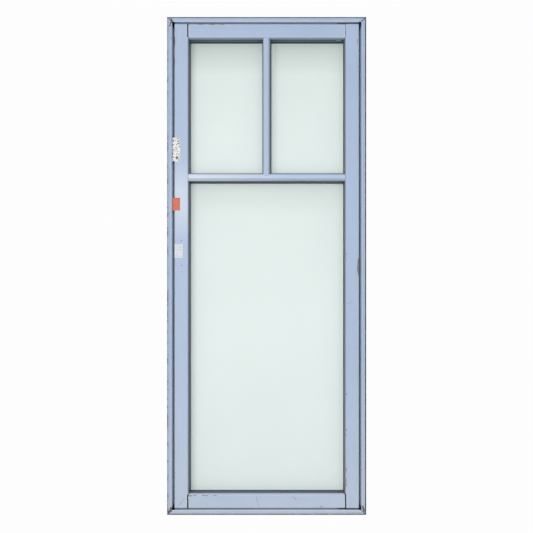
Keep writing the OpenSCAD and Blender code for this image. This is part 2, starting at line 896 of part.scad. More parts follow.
module handle_lever() {
    neck_z = lock_out + bolt_t / 2 + slide_fit;
    hole = spindle_w + 2 * joint_fit;
    color(BRASS) on_lock() difference() {
        union() {
            translate([0, 0, neck_z]) cylinder(d = neck_d, h = lever_y - neck_z);
            translate([0, 0, case_h + boss_h + slide_fit]) cylinder(r = hub_r, h = collar_h);
            translate([0, 0, lever_y]) rotate([0, 90, 0]) rotate_extrude() difference() {
                union() {
                    polygon([
                        [0, 0], [waist_r, 0], [waist_r, waist_l], [grip_r, lever_len - grip_l],
                        [grip_r, lever_len - grip_r], [0, lever_len - grip_r]
                    ]);
                    translate([0, lever_len - grip_r]) circle(grip_r);
                }
                translate([-2 * grip_r, -over]) square([2 * grip_r, lever_len + 2 * over]);
            }
            translate([0, 0, lever_y]) sphere(hub_r);
        }
        translate([-hole / 2, -hole / 2, neck_z - over]) cube([hole, hole, lever_y - neck_z + over]);
    }
}

// A bolt in its own plane, with the pinion's axis at the origin and its rod towards +y.
module bolt_outline(length) {
    root = gear_r + gear_ded;
    half_root = tooth_w / 2 + gear_ded * tan(pressure_angle);
    half_tip = tooth_w / 2 - gear_add * tan(pressure_angle);
    translate([-rack_out, -rack_low]) square([rack_back, 2 * rack_low + yoke_h]);
    translate([-rack_out, rack_low]) square([rack_out + bolt_w / 2, yoke_h]);
    translate([-bolt_w / 2, rack_low]) square([bolt_w, length - rack_low]);
    for (k = [-ceil(gear_teeth / 4) - 2 : 1]) translate([0, (k + 1 / 2) * gear_pitch]) polygon([
        [-root - tooth_sink, -half_root], [-root, -half_root], [-gear_r + gear_add, -half_tip],
        [-gear_r + gear_add, half_tip], [-root, half_root], [-root - tooth_sink, half_root]
    ]);
}

module bolt(length) {
    color(STEEL) translate([lock_x, lock_y + bolt_t / 2, lock_z]) rotate([90, 0, 0])
        linear_extrude(bolt_t) bolt_outline(length);
}

module upper_bolt() bolt(frame_h - frame_member - bolt_clear - lock_z);

module lower_bolt() {
    translate([lock_x, 0, lock_z]) rotate([0, 180, 0]) translate([-lock_x, 0, -lock_z])
        bolt(lock_z - frame_member - bolt_clear);
}

module guide_screw_set(grow) {
    for (z = guide_z, sx = [-1, 1])
        translate([lock_x + sx * (guide_w / 2 - small_screw_d), back_y + base_t, z]) rotate([-90, 0, 0])
            screw(small_screw_d, guide_screw_l, grow);
}

module bolt_guides() {
    slot_w = bolt_w + 2 * slide_fit;
    slot_t = bolt_t + 2 * slide_fit;
    block_w = slot_w + 2 * guide_wall;
    block_h = lock_out + slot_t / 2 + guide_wall;
    color(STEEL) difference() {
        for (z = guide_z) translate([lock_x, back_y, z - guide_l / 2]) difference() {
            union() {
                translate([-guide_w / 2, 0, 0]) cube([guide_w, base_t, guide_l]);
                translate([-block_w / 2, 0, 0]) cube([block_w, block_h, guide_l]);
            }
            translate([-slot_w / 2, lock_out - slot_t / 2, -over]) cube([slot_w, slot_t, guide_l + 2 * over]);
        }
        guide_screw_set(screw_fit);
    }
}

module guide_screws() color(STEEL) guide_screw_set(0);

head();
sill();
left_jamb();
right_jamb();
corner_screws();
lower_pivot_pin();
upper_pivot_pin();
pivot_pin_screws();
pivot_washers();
upper_strike_plate();
lower_strike_plate();
strike_screws();
lock_stile();
hinge_stile();
top_rail();
bottom_rail();
transom_bar();
mullion_bar();
weather_seal();
setting_blocks();
upper_left_outer_pane();
upper_left_inner_pane();
upper_left_spacer();
upper_left_front_gasket();
upper_left_back_gasket();
upper_left_beads();
upper_right_outer_pane();
upper_right_inner_pane();
upper_right_spacer();
upper_right_front_gasket();
upper_right_back_gasket();
upper_right_beads();
lower_outer_pane();
lower_inner_pane();
lower_spacer();
lower_front_gasket();
lower_back_gasket();
lower_beads();
lower_pivot_socket();
upper_pivot_socket();
pivot_socket_screws();
gear_base_plate();
gear_cover();
gear_cover_screws();
bolt_guides();
guide_screws();
handle_lever();
handle_spindle();
pinion();
upper_bolt();
lower_bolt();
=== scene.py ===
"""Looks of a side-hung casement window: worn blue-grey paint on timber, three sealed glass units in one sash
with a T of glazing bars, and a brass cremone bolt on the room side."""

import logging
import math
import random
import statistics
from dataclasses import dataclass, field, replace
from enum import Enum
from typing import Any

import bmesh
import bpy
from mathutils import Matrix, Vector


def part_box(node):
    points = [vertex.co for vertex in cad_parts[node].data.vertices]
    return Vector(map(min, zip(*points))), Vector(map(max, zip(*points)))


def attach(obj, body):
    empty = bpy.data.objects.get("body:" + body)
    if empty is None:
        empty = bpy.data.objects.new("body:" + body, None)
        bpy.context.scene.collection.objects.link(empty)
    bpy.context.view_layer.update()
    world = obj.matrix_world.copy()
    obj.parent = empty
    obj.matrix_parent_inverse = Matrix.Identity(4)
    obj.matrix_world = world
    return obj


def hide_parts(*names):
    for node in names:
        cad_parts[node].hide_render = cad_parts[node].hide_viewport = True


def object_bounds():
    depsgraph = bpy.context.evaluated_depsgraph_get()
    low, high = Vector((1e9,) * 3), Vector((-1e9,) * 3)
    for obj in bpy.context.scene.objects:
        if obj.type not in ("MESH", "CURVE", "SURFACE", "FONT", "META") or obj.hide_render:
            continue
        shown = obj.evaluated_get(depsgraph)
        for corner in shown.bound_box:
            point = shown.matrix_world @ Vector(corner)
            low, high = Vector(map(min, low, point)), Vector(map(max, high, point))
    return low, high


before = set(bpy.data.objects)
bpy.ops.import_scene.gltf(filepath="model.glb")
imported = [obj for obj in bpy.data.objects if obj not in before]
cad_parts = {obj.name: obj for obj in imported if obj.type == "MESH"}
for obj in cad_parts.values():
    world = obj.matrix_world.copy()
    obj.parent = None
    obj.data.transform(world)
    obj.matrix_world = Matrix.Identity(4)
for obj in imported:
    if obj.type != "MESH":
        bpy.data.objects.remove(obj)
CAD_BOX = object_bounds()
LOG = logging.getLogger("casement")
MM = 0.001
TOUCHING = 0.001 * MM
Colour = tuple[float, float, float]
Point = tuple[float, float]
Place = tuple[float, float, float]
Socket = bpy.types.NodeSocket
Tree = bpy.types.NodeTree
Material = bpy.types.Material
SceneObject = bpy.types.Object
LooseMesh = bmesh.types.BMesh


class Slot(str, Enum):
    """Names of the record's material slots, passed along with new pieces."""

    PAINT = "painted_timber"
    BRASS = "brass"
    STEEL = "steel"


class Body(str, Enum):
    """The bodies that carry new pieces."""

    FRAME = "frame"
    SASH = "sash"


class Run(Enum):
    """Which way a timber's grain and brush marks run, as a stretch of the pattern."""

    UPRIGHT = (420.0, 420.0, 9.0)
    LEVEL = (9.0, 420.0, 420.0)


class Knock(Enum):
    """The kinds of damage in the paint."""

    CHIP = "chip"
    SCORE = "score"
    NAIL = "nail"


def rgba(colour: Colour) -> tuple[float, float, float, float]:
    """A colour with full opacity."""
    return (*colour, 1.0)


@dataclass(frozen=True)
class PhotoScale:
    """Turns a pixel of the photograph into a place on an upright plane of the window."""

    pixel: float = 3.0093 * MM
    middle: float = 266.65
    foot: float = 515.10
    image: float = 533.0
    eye_x: float = 43.0 * MM
    eye_y: float = -1897.5 * MM
    eye_z: float = 603.0 * MM
    front: float = -57.5 * MM
    sensor: float = 36.0

    def at(self, px: float, py: float, plane: float) -> Vector:
        """Finds the place that a pixel shows.

        Args:
            px: Pixels from the picture's left edge.
            py: Pixels from the picture's top edge.
            plane: The depth (Y) of the plane that is looked at.

        Returns:
            The point on that plane.
        """
        eye = Vector((self.eye_x, self.eye_y, self.eye_z))
        near = Vector(((px - self.middle) * self.pixel, self.front, (self.foot - py) * self.pixel))
        return eye + (near - eye) * ((plane - self.eye_y) / (self.front - self.eye_y))

    def camera(self) -> SceneObject:
        """Makes the camera that took the picture: level, square to the window, with the lens shifted.

        Returns:
            The camera object.
        """
        data = bpy.data.cameras.new("front_camera")
        width = self.image * self.pixel
        centre_x = (self.image / 2 - self.middle) * self.pixel
        centre_z = (self.foot - self.image / 2) * self.pixel
        data.sensor_width = self.sensor
        data.lens = self.sensor * (self.front - self.eye_y) / width
        data.shift_x = (centre_x - self.eye_x) / width
        data.shift_y = (centre_z - self.eye_z) / width
        data.clip_start = 0.05
        data.clip_end = 60.0
        camera = bpy.data.objects.new("front_camera", data)
        camera.location = (self.eye_x, self.eye_y, self.eye_z)
        camera.rotation_euler = (math.radians(90), 0, 0)
        bpy.context.scene.collection.objects.link(camera)
        bpy.context.scene.camera = camera
        return camera


PHOTO = PhotoScale()
LIGHTS = ("upper_left", "upper_right", "lower")


class Graph:
    """Adds and joins the nodes of one tree."""

    NOISE = (0.3, 0.7)

    def __init__(self, tree: Tree) -> None:
        """Keeps the tree that the nodes go into."""
        self.tree = tree

    def add(self, kind: str, feeds: dict | None = None, **settings: Any) -> bpy.types.Node:
        """Adds a node.

        Args:
            kind: The node's type name.
            feeds: What goes into its inputs, by name or number: sockets or values.
            settings: The node's own properties.

        Returns:
            The node.
        """
        node = self.tree.nodes.new(kind)
        for name, value in settings.items():
            setattr(node, name, value)
        for key, value in (feeds or {}).items():
            self.feed(node.inputs[key], value)
        return node

    def feed(self, socket: Socket, value: Any) -> None:
        """Joins another socket to an input, or sets the input's value.

        Args:
            socket: The input.
            value: A socket, or a plain value.
        """
        if isinstance(value, Socket):
            self.tree.links.new(value, socket)
        else:
            socket.default_value = value

    def math(self, operation: str, a: Any, b: Any = 0.0, clamp: bool = False) -> Socket:
        """The result of one sum on two values."""
        return self.add("ShaderNodeMath", {0: a, 1: b}, operation=operation, use_clamp=clamp).outputs[0]

    def times(self, a: Any, b: Any) -> Socket:
        """The product of two values."""
        return self.math("MULTIPLY", a, b)

    def plus(self, a: Any, b: Any) -> Socket:
        """The sum of two values."""
        return self.math("ADD", a, b)

    def minus(self, a: Any, b: Any) -> Socket:
        """The difference of two values."""
        return self.math("SUBTRACT", a, b)

    def most(self, a: Any, b: Any) -> Socket:
        """The larger of two values."""
        return self.math("MAXIMUM", a, b)

    def size(self, value: Any) -> Socket:
        """A value without its sign."""
        return self.math("ABSOLUTE", value)

    def parts(self, place: Any) -> Any:
        """The X, Y and Z of a place."""
        return self.add("ShaderNodeSeparateXYZ", {0: place}).outputs

    def vector(self, operation: str, a: Any, b: Any) -> Socket:
        """The result of one sum on two vectors."""
        return self.add("ShaderNodeVectorMath", {0: a, 1: b}, operation=operation).outputs[0]

    def scaled(self, colour: Any, amount: Any) -> Socket:
        """A colour made lighter or darker by a factor."""
        return self.add("ShaderNodeVectorMath", {0: colour, "Scale": amount}, operation="SCALE").outputs[0]

    def remap(self, value: Any, lo: float, hi: float, to_lo: Any = 0.0, to_hi: Any = 1.0) -> Socket:
        """A value taken from one range to another, held at its ends."""
        feeds = {"Value": value, "From Min": lo, "From Max": hi, "To Min": to_lo, "To Max": to_hi}
        return self.add("ShaderNodeMapRange", feeds, clamp=True).outputs[0]

    def mix(self, factor: Any, a: Any, b: Any) -> Socket:
        """One colour turned into another by a mask."""
        paints = [rgba(c) if isinstance(c, tuple) else c for c in (a, b)]
        return self.add("ShaderNodeMix", {0: factor, 6: paints[0], 7: paints[1]}, data_type="RGBA").outputs[2]

    def noise(self, place: Any, scale: float, detail: float = 3.0, rough: float = 0.55) -> Socket:
        """Cloudy noise around a half."""
        feeds = {"Vector": place, "Scale": scale, "Detail": detail, "Roughness": rough}
        return self.add("ShaderNodeTexNoise", feeds).outputs[0]

    def vary(self, noise: Any, low: float, high: float) -> Socket:
        """Noise spread over a range."""
        return self.remap(noise, *self.NOISE, low, high)

    def wander(self, place: Any, scale: float, amount: float, *kind: float) -> Socket:
        """A ragged shift to either side, with the detail and roughness of its noise where they are given."""
        return self.times(self.minus(self.noise(place, scale, *kind), 0.5), amount)

    def length(self, place: Any, centre: Place) -> Socket:
        """The distance between a place and a fixed point."""
        return self.add("ShaderNodeVectorMath", {0: place, 1: centre}, operation="DISTANCE").outputs["Value"]

    def effect(self, tree: Tree, feeds: dict) -> Any:
        """Places a shared effect and gives its outputs."""
        return self.add("ShaderNodeGroup", feeds, node_tree=tree).outputs

    def group(self, tree: Tree, feeds: dict) -> Socket:
        """Places a shared effect and gives its first output."""
        return self.effect(tree, feeds)[0]

    def steps(self, value: Any, reach: float, stops: tuple[Point, ...]) -> Socket:
        """A value read off a curve of straight pieces.

        Args:
            value: What is looked up.
            reach: The lookup's far end.
            stops: Pairs of lookup value and result, in order.

        Returns:
            The result.
        """
        node = self.add("ShaderNodeValToRGB", {0: self.math("DIVIDE", value, reach)})
        spots = node.color_ramp.elements
        while len(spots) < len(stops):
            spots.new(0.5)
        for spot, (at, level) in zip(spots, stops):
            spot.position = at / reach
            spot.color = (level, level, level, 1.0)
        return node.outputs[0]

    def bump(self, height: Any, strength: float, distance: float) -> Socket:
        """The normal of a surface raised by a height."""
        feeds = {"Height": height, "Strength": strength, "Distance": distance}
        return self.add("ShaderNodeBump", feeds).outputs[0]


class Effects:
    """The shared effects: node groups that more than one finish places."""

    FINE_WEAR = (170.0, 5.0, 0.65)
    BROAD_WEAR = (17.0, 2.0)
    BARE_LEVEL = (0.66, 0.70)

    def __init__(self) -> None:
        """Builds each group once."""
        self.rim = self._rim()
        self.brush = self._brush()
        self.worn = self._worn()
        self.flecks = self._flecks()

    @staticmethod
    def _start(name: str, inputs: dict[str, str], *outputs: str) -> tuple[Graph, Any, Any]:
        """Starts a group.

        Args:
            name: The group's name.
            inputs: Socket types by input name.
            outputs: The names of the values that it gives.

        Returns:
            Its graph, the outputs of its input node, and the inputs of its output node.
        """
        tree = bpy.data.node_groups.new(name, "ShaderNodeTree")
        for label, kind in inputs.items():
            tree.interface.new_socket(label, in_out="INPUT", socket_type=kind)
        for label in outputs:
            tree.interface.new_socket(label, in_out="OUTPUT", socket_type="NodeSocketFloat")
        graph = Graph(tree)
        source = graph.add("NodeGroupInput").outputs
        return graph, source, graph.add("NodeGroupOutput").inputs

    def _rim(self) -> Tree:
        """Distance from a rectangular arris that runs round the window in one plane.

        Returns:
            The group.
        """
        number = "NodeSocketFloat"
        graph, source, out = self._start("rim distance", {
            "Place": "NodeSocketVector", "Half Width": number, "Middle": number, "Half Height": number,
            "Plane": number, "Centre": number}, "Distance", "Outside")
        xyz = graph.parts(source["Place"])
        across = graph.size(graph.minus(xyz[0], source["Centre"]))
        across = graph.minus(across, source["Half Width"])
        upright = graph.size(graph.minus(xyz[2], source["Middle"]))
        upright = graph.minus(upright, source["Half Height"])
        outside = graph.most(across, upright)
        deep = graph.size(graph.minus(xyz[1], source["Plane"]))
        graph.feed(out["Distance"], graph.most(graph.size(outside), deep))
        graph.feed(out["Outside"], outside)
        return graph.tree

    def _brush(self) -> Tree:
        """Streaks left by a brush or a file, drawn out along one direction.

        Returns:
            The group.
        """
        graph, source, out = self._start("brush marks", {
            "Place": "NodeSocketVector", "Stretch": "NodeSocketVector"}, "Marks")
        drawn = graph.vector("MULTIPLY", source["Place"], source["Stretch"])
        graph.feed(out[0], graph.noise(drawn, 1.0, 4.0, 0.6))
        return graph.tree

    def _worn(self) -> Tree:
        """Ragged bare places that gather along an arris.

        Returns:
            The group.
        """
        number = "NodeSocketFloat"
        graph, source, out = self._start("worn places", {
            "Place": "NodeSocketVector", "Distance": number, "Reach": number, "Amount": number}, "Mask")
        fine = graph.noise(source["Place"], *self.FINE_WEAR)
        broad = graph.noise(source["Place"], *self.BROAD_WEAR)
        level = graph.plus(graph.times(fine, 0.55), graph.times(broad, 0.45))
        fade = graph.times(graph.math("DIVIDE", source["Distance"], source["Reach"]), 0.22)
        level = graph.minus(level, fade)
        level = graph.plus(level, graph.times(source["Amount"], 0.35))
        graph.feed(out[0], graph.remap(level, *self.BARE_LEVEL))
        return graph.tree

    def _flecks(self) -> Tree:
        """Small scattered dots.

        Returns:
            The group.
        """
        number = "NodeSocketFloat"
        graph, source, out = self._start("flecks", {
            "Place": "NodeSocketVector", "Scale": number, "Size": number, "Share": number}, "Mask")
        cells = graph.add("ShaderNodeTexVoronoi", {"Vector": source["Place"], "Scale": source["Scale"]})
        red = graph.add("ShaderNodeSeparateColor", {0: cells.outputs["Color"]}).outputs[0]
        small = graph.math("LESS_THAN", cells.outputs["Distance"], source["Size"])
        graph.feed(out[0], graph.times(small, graph.math("LESS_THAN", red, source["Share"])))
        return graph.tree


EFFECTS = Effects()


def new_material(name: str) -> tuple[Graph, bpy.types.Node, Socket]:
    """Starts a finish.

    Args:
        name: The material's name.

    Returns:
        Its graph, its surface shader and the Object coordinates.
    """
    material = bpy.data.materials.new(name)
    material.use_nodes = True
    graph = Graph(material.node_tree)
    shader = next(n for n in graph.tree.nodes if n.type == "BSDF_PRINCIPLED")
    return graph, shader, graph.add("ShaderNodeTexCoord").outputs["Object"]


def finished(graph: Graph, shader: bpy.types.Node, colour: Any, rough: Any, normal: Any = None) -> Material:
    """Joins up the surface of a finish.

    Args:
        graph: The material's graph.
        shader: Its surface shader.
        colour: The colour.
        rough: The roughness.
        normal: The raised normal, if it has one.

    Returns:
        The material.
    """
    graph.feed(shader.inputs["Base Color"], colour)
    graph.feed(shader.inputs["Roughness"], rough)
    if normal is not None:
        graph.feed(shader.inputs["Normal"], normal)
    return owner(graph)


def owner(graph: Graph) -> Material:
    """The material that a graph belongs to."""
    return next(m for m in bpy.data.materials if m.node_tree == graph.tree)


@dataclass
class Coat:
    """A paint while it is being mixed.

    Attributes:
        graph: The material's graph.
        place: The Object coordinates.
        xyz: The coordinates one by one.
        colour: The colour so far.
    """

    graph: Graph
    place: Socket
    xyz: Any
    colour: Any

    def lay(self, mask: Any, colour: Any) -> None:
        """Lays another colour over the paint where a mask says so."""
        self.colour = self.graph.mix(mask, self.colour, colour)


@dataclass(frozen=True)
class Rim:
    """One arris that runs round the window as a rectangle.

    Attributes:
        half_width: Half the rectangle's width.
        low: Its lower side.
        high: Its upper side.
        plane: Its depth.
        wear: How bare it is rubbed.
        reach: How far from the arris the bare places reach.
        centre: The middle of its width.
        arris_highlight: How strong the painted highlight is along its level sides.
        side_shade: How strong the painted shade is along its upright sides.
    """

    half_width: float
    low: float
    high: float
    plane: float
    wear: float
    reach: float
    centre: float = 0.0
    arris_highlight: float = 0.10
    side_shade: float = 0.0

    def measure(self, graph: Graph, place: Socket) -> Any:
        """Measures how far a point is from this arris, and how far outside its rectangle.

        Args:
            graph: The tree that the nodes go into.
            place: The point's place.

        Returns:
            The outputs of the shared effect.
        """
        return graph.effect(EFFECTS.rim, {
            "Place": place, "Half Width": self.half_width, "Middle": (self.low + self.high) / 2,
            "Half Height": (self.high - self.low) / 2, "Plane": self.plane, "Centre": self.centre})

    def sides(self, coat: Coat) -> tuple[Socket, Socket]:
        """Finds how far a point lies past the sides of this rectangle, which is centred on the window.

        Args:
            coat: The paint that is being mixed.

        Returns:
            The distances past its upright sides and past its level sides.
        """
        graph = coat.graph
        across = graph.minus(graph.size(coat.xyz[0]), self.half_width)
        upright = graph.size(graph.minus(coat.xyz[2], (self.low + self.high) / 2))
        return across, graph.minus(upright, (self.high - self.low) / 2)


@dataclass(frozen=True)
class PaintFinish:
    """Old blue-grey paint: chalky in places, brushed along the timber, dirty and rubbed bare on its arrises,
    with painted highlights and painted shade laid over it.

    Attributes:
        name: The material's name.
        run: Which way the timber runs.
        rims: The arrises that are rubbed.
        outer: The frame's outer arris, which is grimy.
        gap: The arris whose side wall stands in the gap between frame and sash, in a paler first coat that is
            also painted light lifting the gap's shade.
        reveal: The arris round the glass, inside which the paint is darkened with painted shade.
        left_highlight: How much paler the paint is towards the left end, as painted light.
        patch_chalk: How chalky the faded patch on the lock stile is.
        foot_paleness: How much paler the paint is at the foot.
        joint: The arris whose sides carry on as the joints between stiles and rails.
        hole: The arris beside the gap, whose walls get black painted shade in the corners.
        gap_share: How much of the paler first coat and painted light shows in the gap.
        gap_floor: How far the paler first coat and painted light spread over the floor of the gap.
        gap_end: How far behind the face the paler first coat and painted light end.
        bar: True for a glazing bar, whose sides get painted shade.
        bar_end: How far from the middle the transom meets the stiles.
        flake: The place in the picture where a flake has come off the reveal.
        flake_depth: How far behind the face that place is.
    """

    name: str
    run: Run
    rims: tuple[Rim, ...]
    outer: Rim | None = None
    gap: Rim | None = None
    reveal: Rim | None = None
    left_highlight: float = 0.045
    patch_chalk: float = 0.34
    foot_paleness: float = 0.18
    joint: Rim | None = None
    hole: Rim | None = None
    gap_share: float = 1.0
    gap_floor: float = 8.0 * MM
    gap_end: float = 80.0 * MM
    bar: bool = False
    bar_end: float = 237.8 * MM
    flake: Point = (339.2, 40.8)
    flake_depth: float = 13.0 * MM
    colour: Colour = (0.366, 0.461, 0.632)
    # Pale colour of chalky fading and of the painted highlights
    chalk_and_highlight: Colour = (0.83, 0.86, 0.90)
    # A paler first coat, also painted light that lifts the shade in the gap
    undercoat_and_light: Colour = (0.88, 0.94, 1.0)
    grime: Colour = (0.050, 0.052, 0.060)
    black: Colour = (0.006, 0.006, 0.007)
    # Blue-grey painted shade
    shade_blue: Colour = (0.066, 0.104, 0.136)
    # Darker, warmer tone towards the right of the reveal
    right_darkening: Colour = (0.102, 0.106, 0.110)
    dusty: Colour = (0.56, 0.52, 0.46)
    wood: Colour = (0.130, 0.085, 0.058)
    weathered: Colour = (0.235, 0.235, 0.245)

    # A faded patch, painted light that makes the left end paler, and paler paint at the foot
    PATCH = (-262.0 * MM, -50.0 * MM, 950.0 * MM)
    PATCH_REACH = (30.0 * MM, 130.0 * MM)
    LIT_SIDE = (80.0 * MM, -270.0 * MM)
    PALE_FOOT = (500.0 * MM, 40.0 * MM)
    DUSTY_FOOT = (300.0 * MM, 0.0)
    # How far the painted highlights and the painted shade reach from an arris
    HIGHLIGHT_REACH = (2.2 * MM, 3.4 * MM)
    UPRIGHT_HIGHLIGHT = 0.2
    SHADE_REACH = (2.0 * MM, 3.6 * MM)
    # Depths and widths in the gap between frame and sash
    FADE = 1.0 * MM
    GAP_START = (3.0 * MM, 8.0 * MM)
    GAP_DEEP = (30.0 * MM, 40.0 * MM)
    GAP_WALL = 1.2 * MM
    CORNER_LONG = (-9.0 * MM, -5.0 * MM)
    CORNER_WALL = (1.6 * MM, 2.6 * MM)
    CORNER_START = (0.8 * MM, 2.0 * MM)
    CORNER_END = (50.0 * MM, 60.0 * MM)
    # Painted shade in the reveal, with black bands at its joint lines, as pairs of depth and share
    REVEAL_EDGE = (-0.2 * MM, -1.0 * MM)
    REVEAL_DEPTH = 25.0 * MM
    REVEAL_SHARE = ((0.0, 0.22), (0.0018, 0.52), (0.0080, 0.53), (0.0092, 0.97),
                    (0.0145, 0.97), (0.0156, 0.62), (0.0195, 0.62), (0.0206, 0.95))
    REVEAL_BLACK = ((0.0085, 0.0), (0.0095, 0.7), (0.0142, 0.7), (0.0152, 0.0), (0.0200, 0.0), (0.0212, 0.40))
    REVEAL_UPRIGHT = 1.46
    RIGHT_SIDE = (232.0 * MM, 234.0 * MM)
    RIGHT_EDGE = (235.2 * MM, 237.8 * MM)
    BEVEL = (3.6 * MM, 4.4 * MM)
    BEVEL_FOOT = 6.0 * MM
    BEVEL_LIT = (1.4 * MM, 3.4 * MM)
    FLAKE = (2.4 * MM, 3.4 * MM)
    FLAKE_STRETCH = (0.32, 1.0, 1.0)
    # Painted shade and painted sheen across a glazing bar, as pairs of distance from its side and share, and
    # the dark seams at the transom's ends
    BAR_REACH = 10.0 * MM
    BAR_DEEP = (6.0 * MM, 12.0 * MM)
    MULLION_EDGE = (0.2 * MM, 2.4 * MM)
    MULLION_SHADE = ((0.0, 0.95), (0.002, 0.75), (0.0055, 0.30), (0.0085, 0.04))
    SHEEN_REACH = 20.0 * MM
    MULLION_SHEEN = ((0.003, 0.0), (0.0065, 0.14), (0.011, 0.07), (0.016, 0.0))
    TRANSOM_TOP = ((0.0, 0.22), (0.0022, 0.06), (0.0036, 0.0), (0.0055, 0.0))
    TRANSOM_FOOT = ((0.0, 0.98), (0.0015, 0.58), (0.0025, 0.18), (0.005, 0.22),
                    (0.0065, 0.40), (0.0083, 0.34), (0.0092, 0.0))
    SEAM = (0.6 * MM, 2.0 * MM)
    # Open joints, mitres and the grimy outer edge
    JOINT_INSET = 0.7 * MM
    JOINT_RAIL = (-0.5 * MM, 0.5 * MM)
    JOINT_HIGHLIGHT = (3.0 * MM, 4.8 * MM)
    JOINT_LINE = (1.9 * MM, 2.6 * MM)
    FAINT_SIDE = (0.0, 100.0 * MM)
    FAINT_TOP = (1200.0 * MM, 1300.0 * MM)
    LEFT_SIDE = (-297.0 * MM, -290.0 * MM)
    LEFT_GRIME = (6.0 * MM, 2.2 * MM)
    GRIME = (4.8 * MM, 3.6 * MM)
    MITRE = (0.8 * MM, 1.9 * MM)

    def make(self) -> Material:
        """Builds the paint.

        Returns:
            The material.
        """
        graph, shader, place = new_material(self.name)
        coat = Coat(graph, place, graph.parts(place), self.colour)
        cloud = graph.noise(place, 7.0, 4.0)
        marks = graph.group(EFFECTS.brush, {"Place": place, "Stretch": self.run.value})
        self._age(coat, cloud, marks)
        bare = self._arrises(coat)
        layers = ((self.gap, self._gap_wall), (self.reveal, self._reveal_shade), (self.bar, self._bar_sides),
                  (self.hole, self._shade_corners), (self.joint, self._joint_line),
                  (self.outer, self._outer_grime))
        for wanted, layer in layers:
            if wanted:
                layer(coat)
        patch = graph.remap(graph.noise(place, 60.0), 0.42, 0.58)
        coat.lay(bare, graph.mix(patch, self.wood, self.weathered))
        rough = graph.plus(graph.vary(cloud, 0.42, 0.58), graph.times(bare, 0.3))
        height = graph.minus(graph.plus(marks, graph.times(cloud, 0.8)), bare)
        return finished(graph, shader, coat.colour, rough, graph.bump(height, 0.35, 0.4 * MM))

    def _age(self, coat: Coat, cloud: Socket, marks: Socket) -> None:
        """Makes the paint paler in a faded patch, towards the foot and, as painted light, towards the left
        end; lets the brush marks show and spots it with dirt.

        Args:
            coat: The paint so far.
            cloud: Broad cloudy noise.
            marks: The brush marks.
        """
        graph, xyz = coat.graph, coat.xyz
        faded = graph.remap(graph.length(coat.place, self.PATCH), *self.PATCH_REACH, self.patch_chalk, 0.0)
        # Painted light towards the left end, added to the real faded patch
        chalk_and_highlight = graph.plus(graph.remap(xyz[0], *self.LIT_SIDE, 0.0, self.left_highlight), faded)
        coat.lay(graph.plus(chalk_and_highlight, graph.remap(xyz[2], *self.PALE_FOOT, 0.0, self.foot_paleness)), self.chalk_and_highlight)
        tone = graph.times(graph.vary(cloud, 0.96, 1.04), graph.vary(marks, 0.97, 1.03))
        coat.colour = graph.scaled(coat.colour, tone)
        low = graph.remap(xyz[2], *self.DUSTY_FOOT, 0.0, 0.10)
        coat.lay(graph.times(low, graph.remap(cloud, 0.35, 0.65, 0.3, 1.0)), self.dusty)
        spots = graph.group(EFFECTS.flecks, {"Place": coat.place, "Scale": 90.0, "Size": 0.11, "Share": 0.05})
        coat.lay(graph.times(spots, 0.45), self.weathered)

    def _arrises(self, coat: Coat) -> Any:
        """Paints highlights along the arrises, weaker on upright timbers, paints shade along the arrises of
        upright timbers, and rubs them bare in places.

        Args:
            coat: The paint so far.

        Returns:
            The mask of the bare places.
        """
        graph = coat.graph
        bare: Any = 0.0
        for rim in self.rims:
            distance = rim.measure(graph, coat.place)[0]
            pale, side_shade = rim.arris_highlight, 0.0
            if self.run is Run.UPRIGHT:
                pale, side_shade = rim.arris_highlight * self.UPRIGHT_HIGHLIGHT, rim.side_shade
            # Painted highlight along the arris, and painted shade along it on upright timbers
            coat.lay(graph.remap(distance, *self.HIGHLIGHT_REACH, pale, 0.0), self.chalk_and_highlight)
            coat.lay(graph.remap(distance, *self.SHADE_REACH, side_shade, 0.0), self.shade_blue)
            bare = graph.most(bare, graph.group(EFFECTS.worn, {
                "Place": coat.place, "Distance": distance, "Reach": rim.reach, "Amount": rim.wear}))
        return bare

    def _gap_wall(self, coat: Coat) -> None:
        """Paints the wall and the floor of the gap in a paler first coat, which is also painted light that
        lifts the gap's shade.

        Args:
            coat: The paint so far.
        """
        graph = coat.graph
        depth = graph.minus(coat.xyz[1], self.gap.plane)
        spread = graph.remap(depth, *self.GAP_DEEP, self.GAP_WALL, self.gap_floor)
        aside = graph.size(self.gap.measure(graph, coat.place)[1])
        near = graph.remap(graph.minus(aside, spread), 0.0, self.FADE, 1.0, 0.0)
        end = graph.remap(depth, self.gap_end, self.gap_end + self.FADE, 1.0, 0.0)
        deep = graph.times(graph.remap(depth, *self.GAP_START), end)
        coat.lay(graph.times(graph.times(near, deep), self.gap_share), self.undercoat_and_light)

    def _reveal_shade(self, coat: Coat) -> None:
        """Paints shade into the reveal round the glass, with black bands at its joint lines and in its
        deepest shade, darker and warmer on the right, and a painted highlight on the bevel at the foot.

        Args:
            coat: The paint so far.
        """
        graph, xyz = coat.graph, coat.xyz
        inside = graph.remap(self.reveal.measure(graph, coat.place)[1], *self.REVEAL_EDGE)
        deep = graph.minus(xyz[1], self.reveal.plane)
        # Painted shade that deepens into the reveal
        share = graph.steps(deep, self.REVEAL_DEPTH, self.REVEAL_SHARE)
        if self.run is Run.UPRIGHT:
            share = graph.math("MULTIPLY", share, self.REVEAL_UPRIGHT, clamp=True)
        right = graph.remap(xyz[0], *self.RIGHT_SIDE)
        lit = graph.remap(xyz[0], *self.RIGHT_EDGE, 0.94, 0.10)
        share = graph.most(share, graph.times(right, lit))
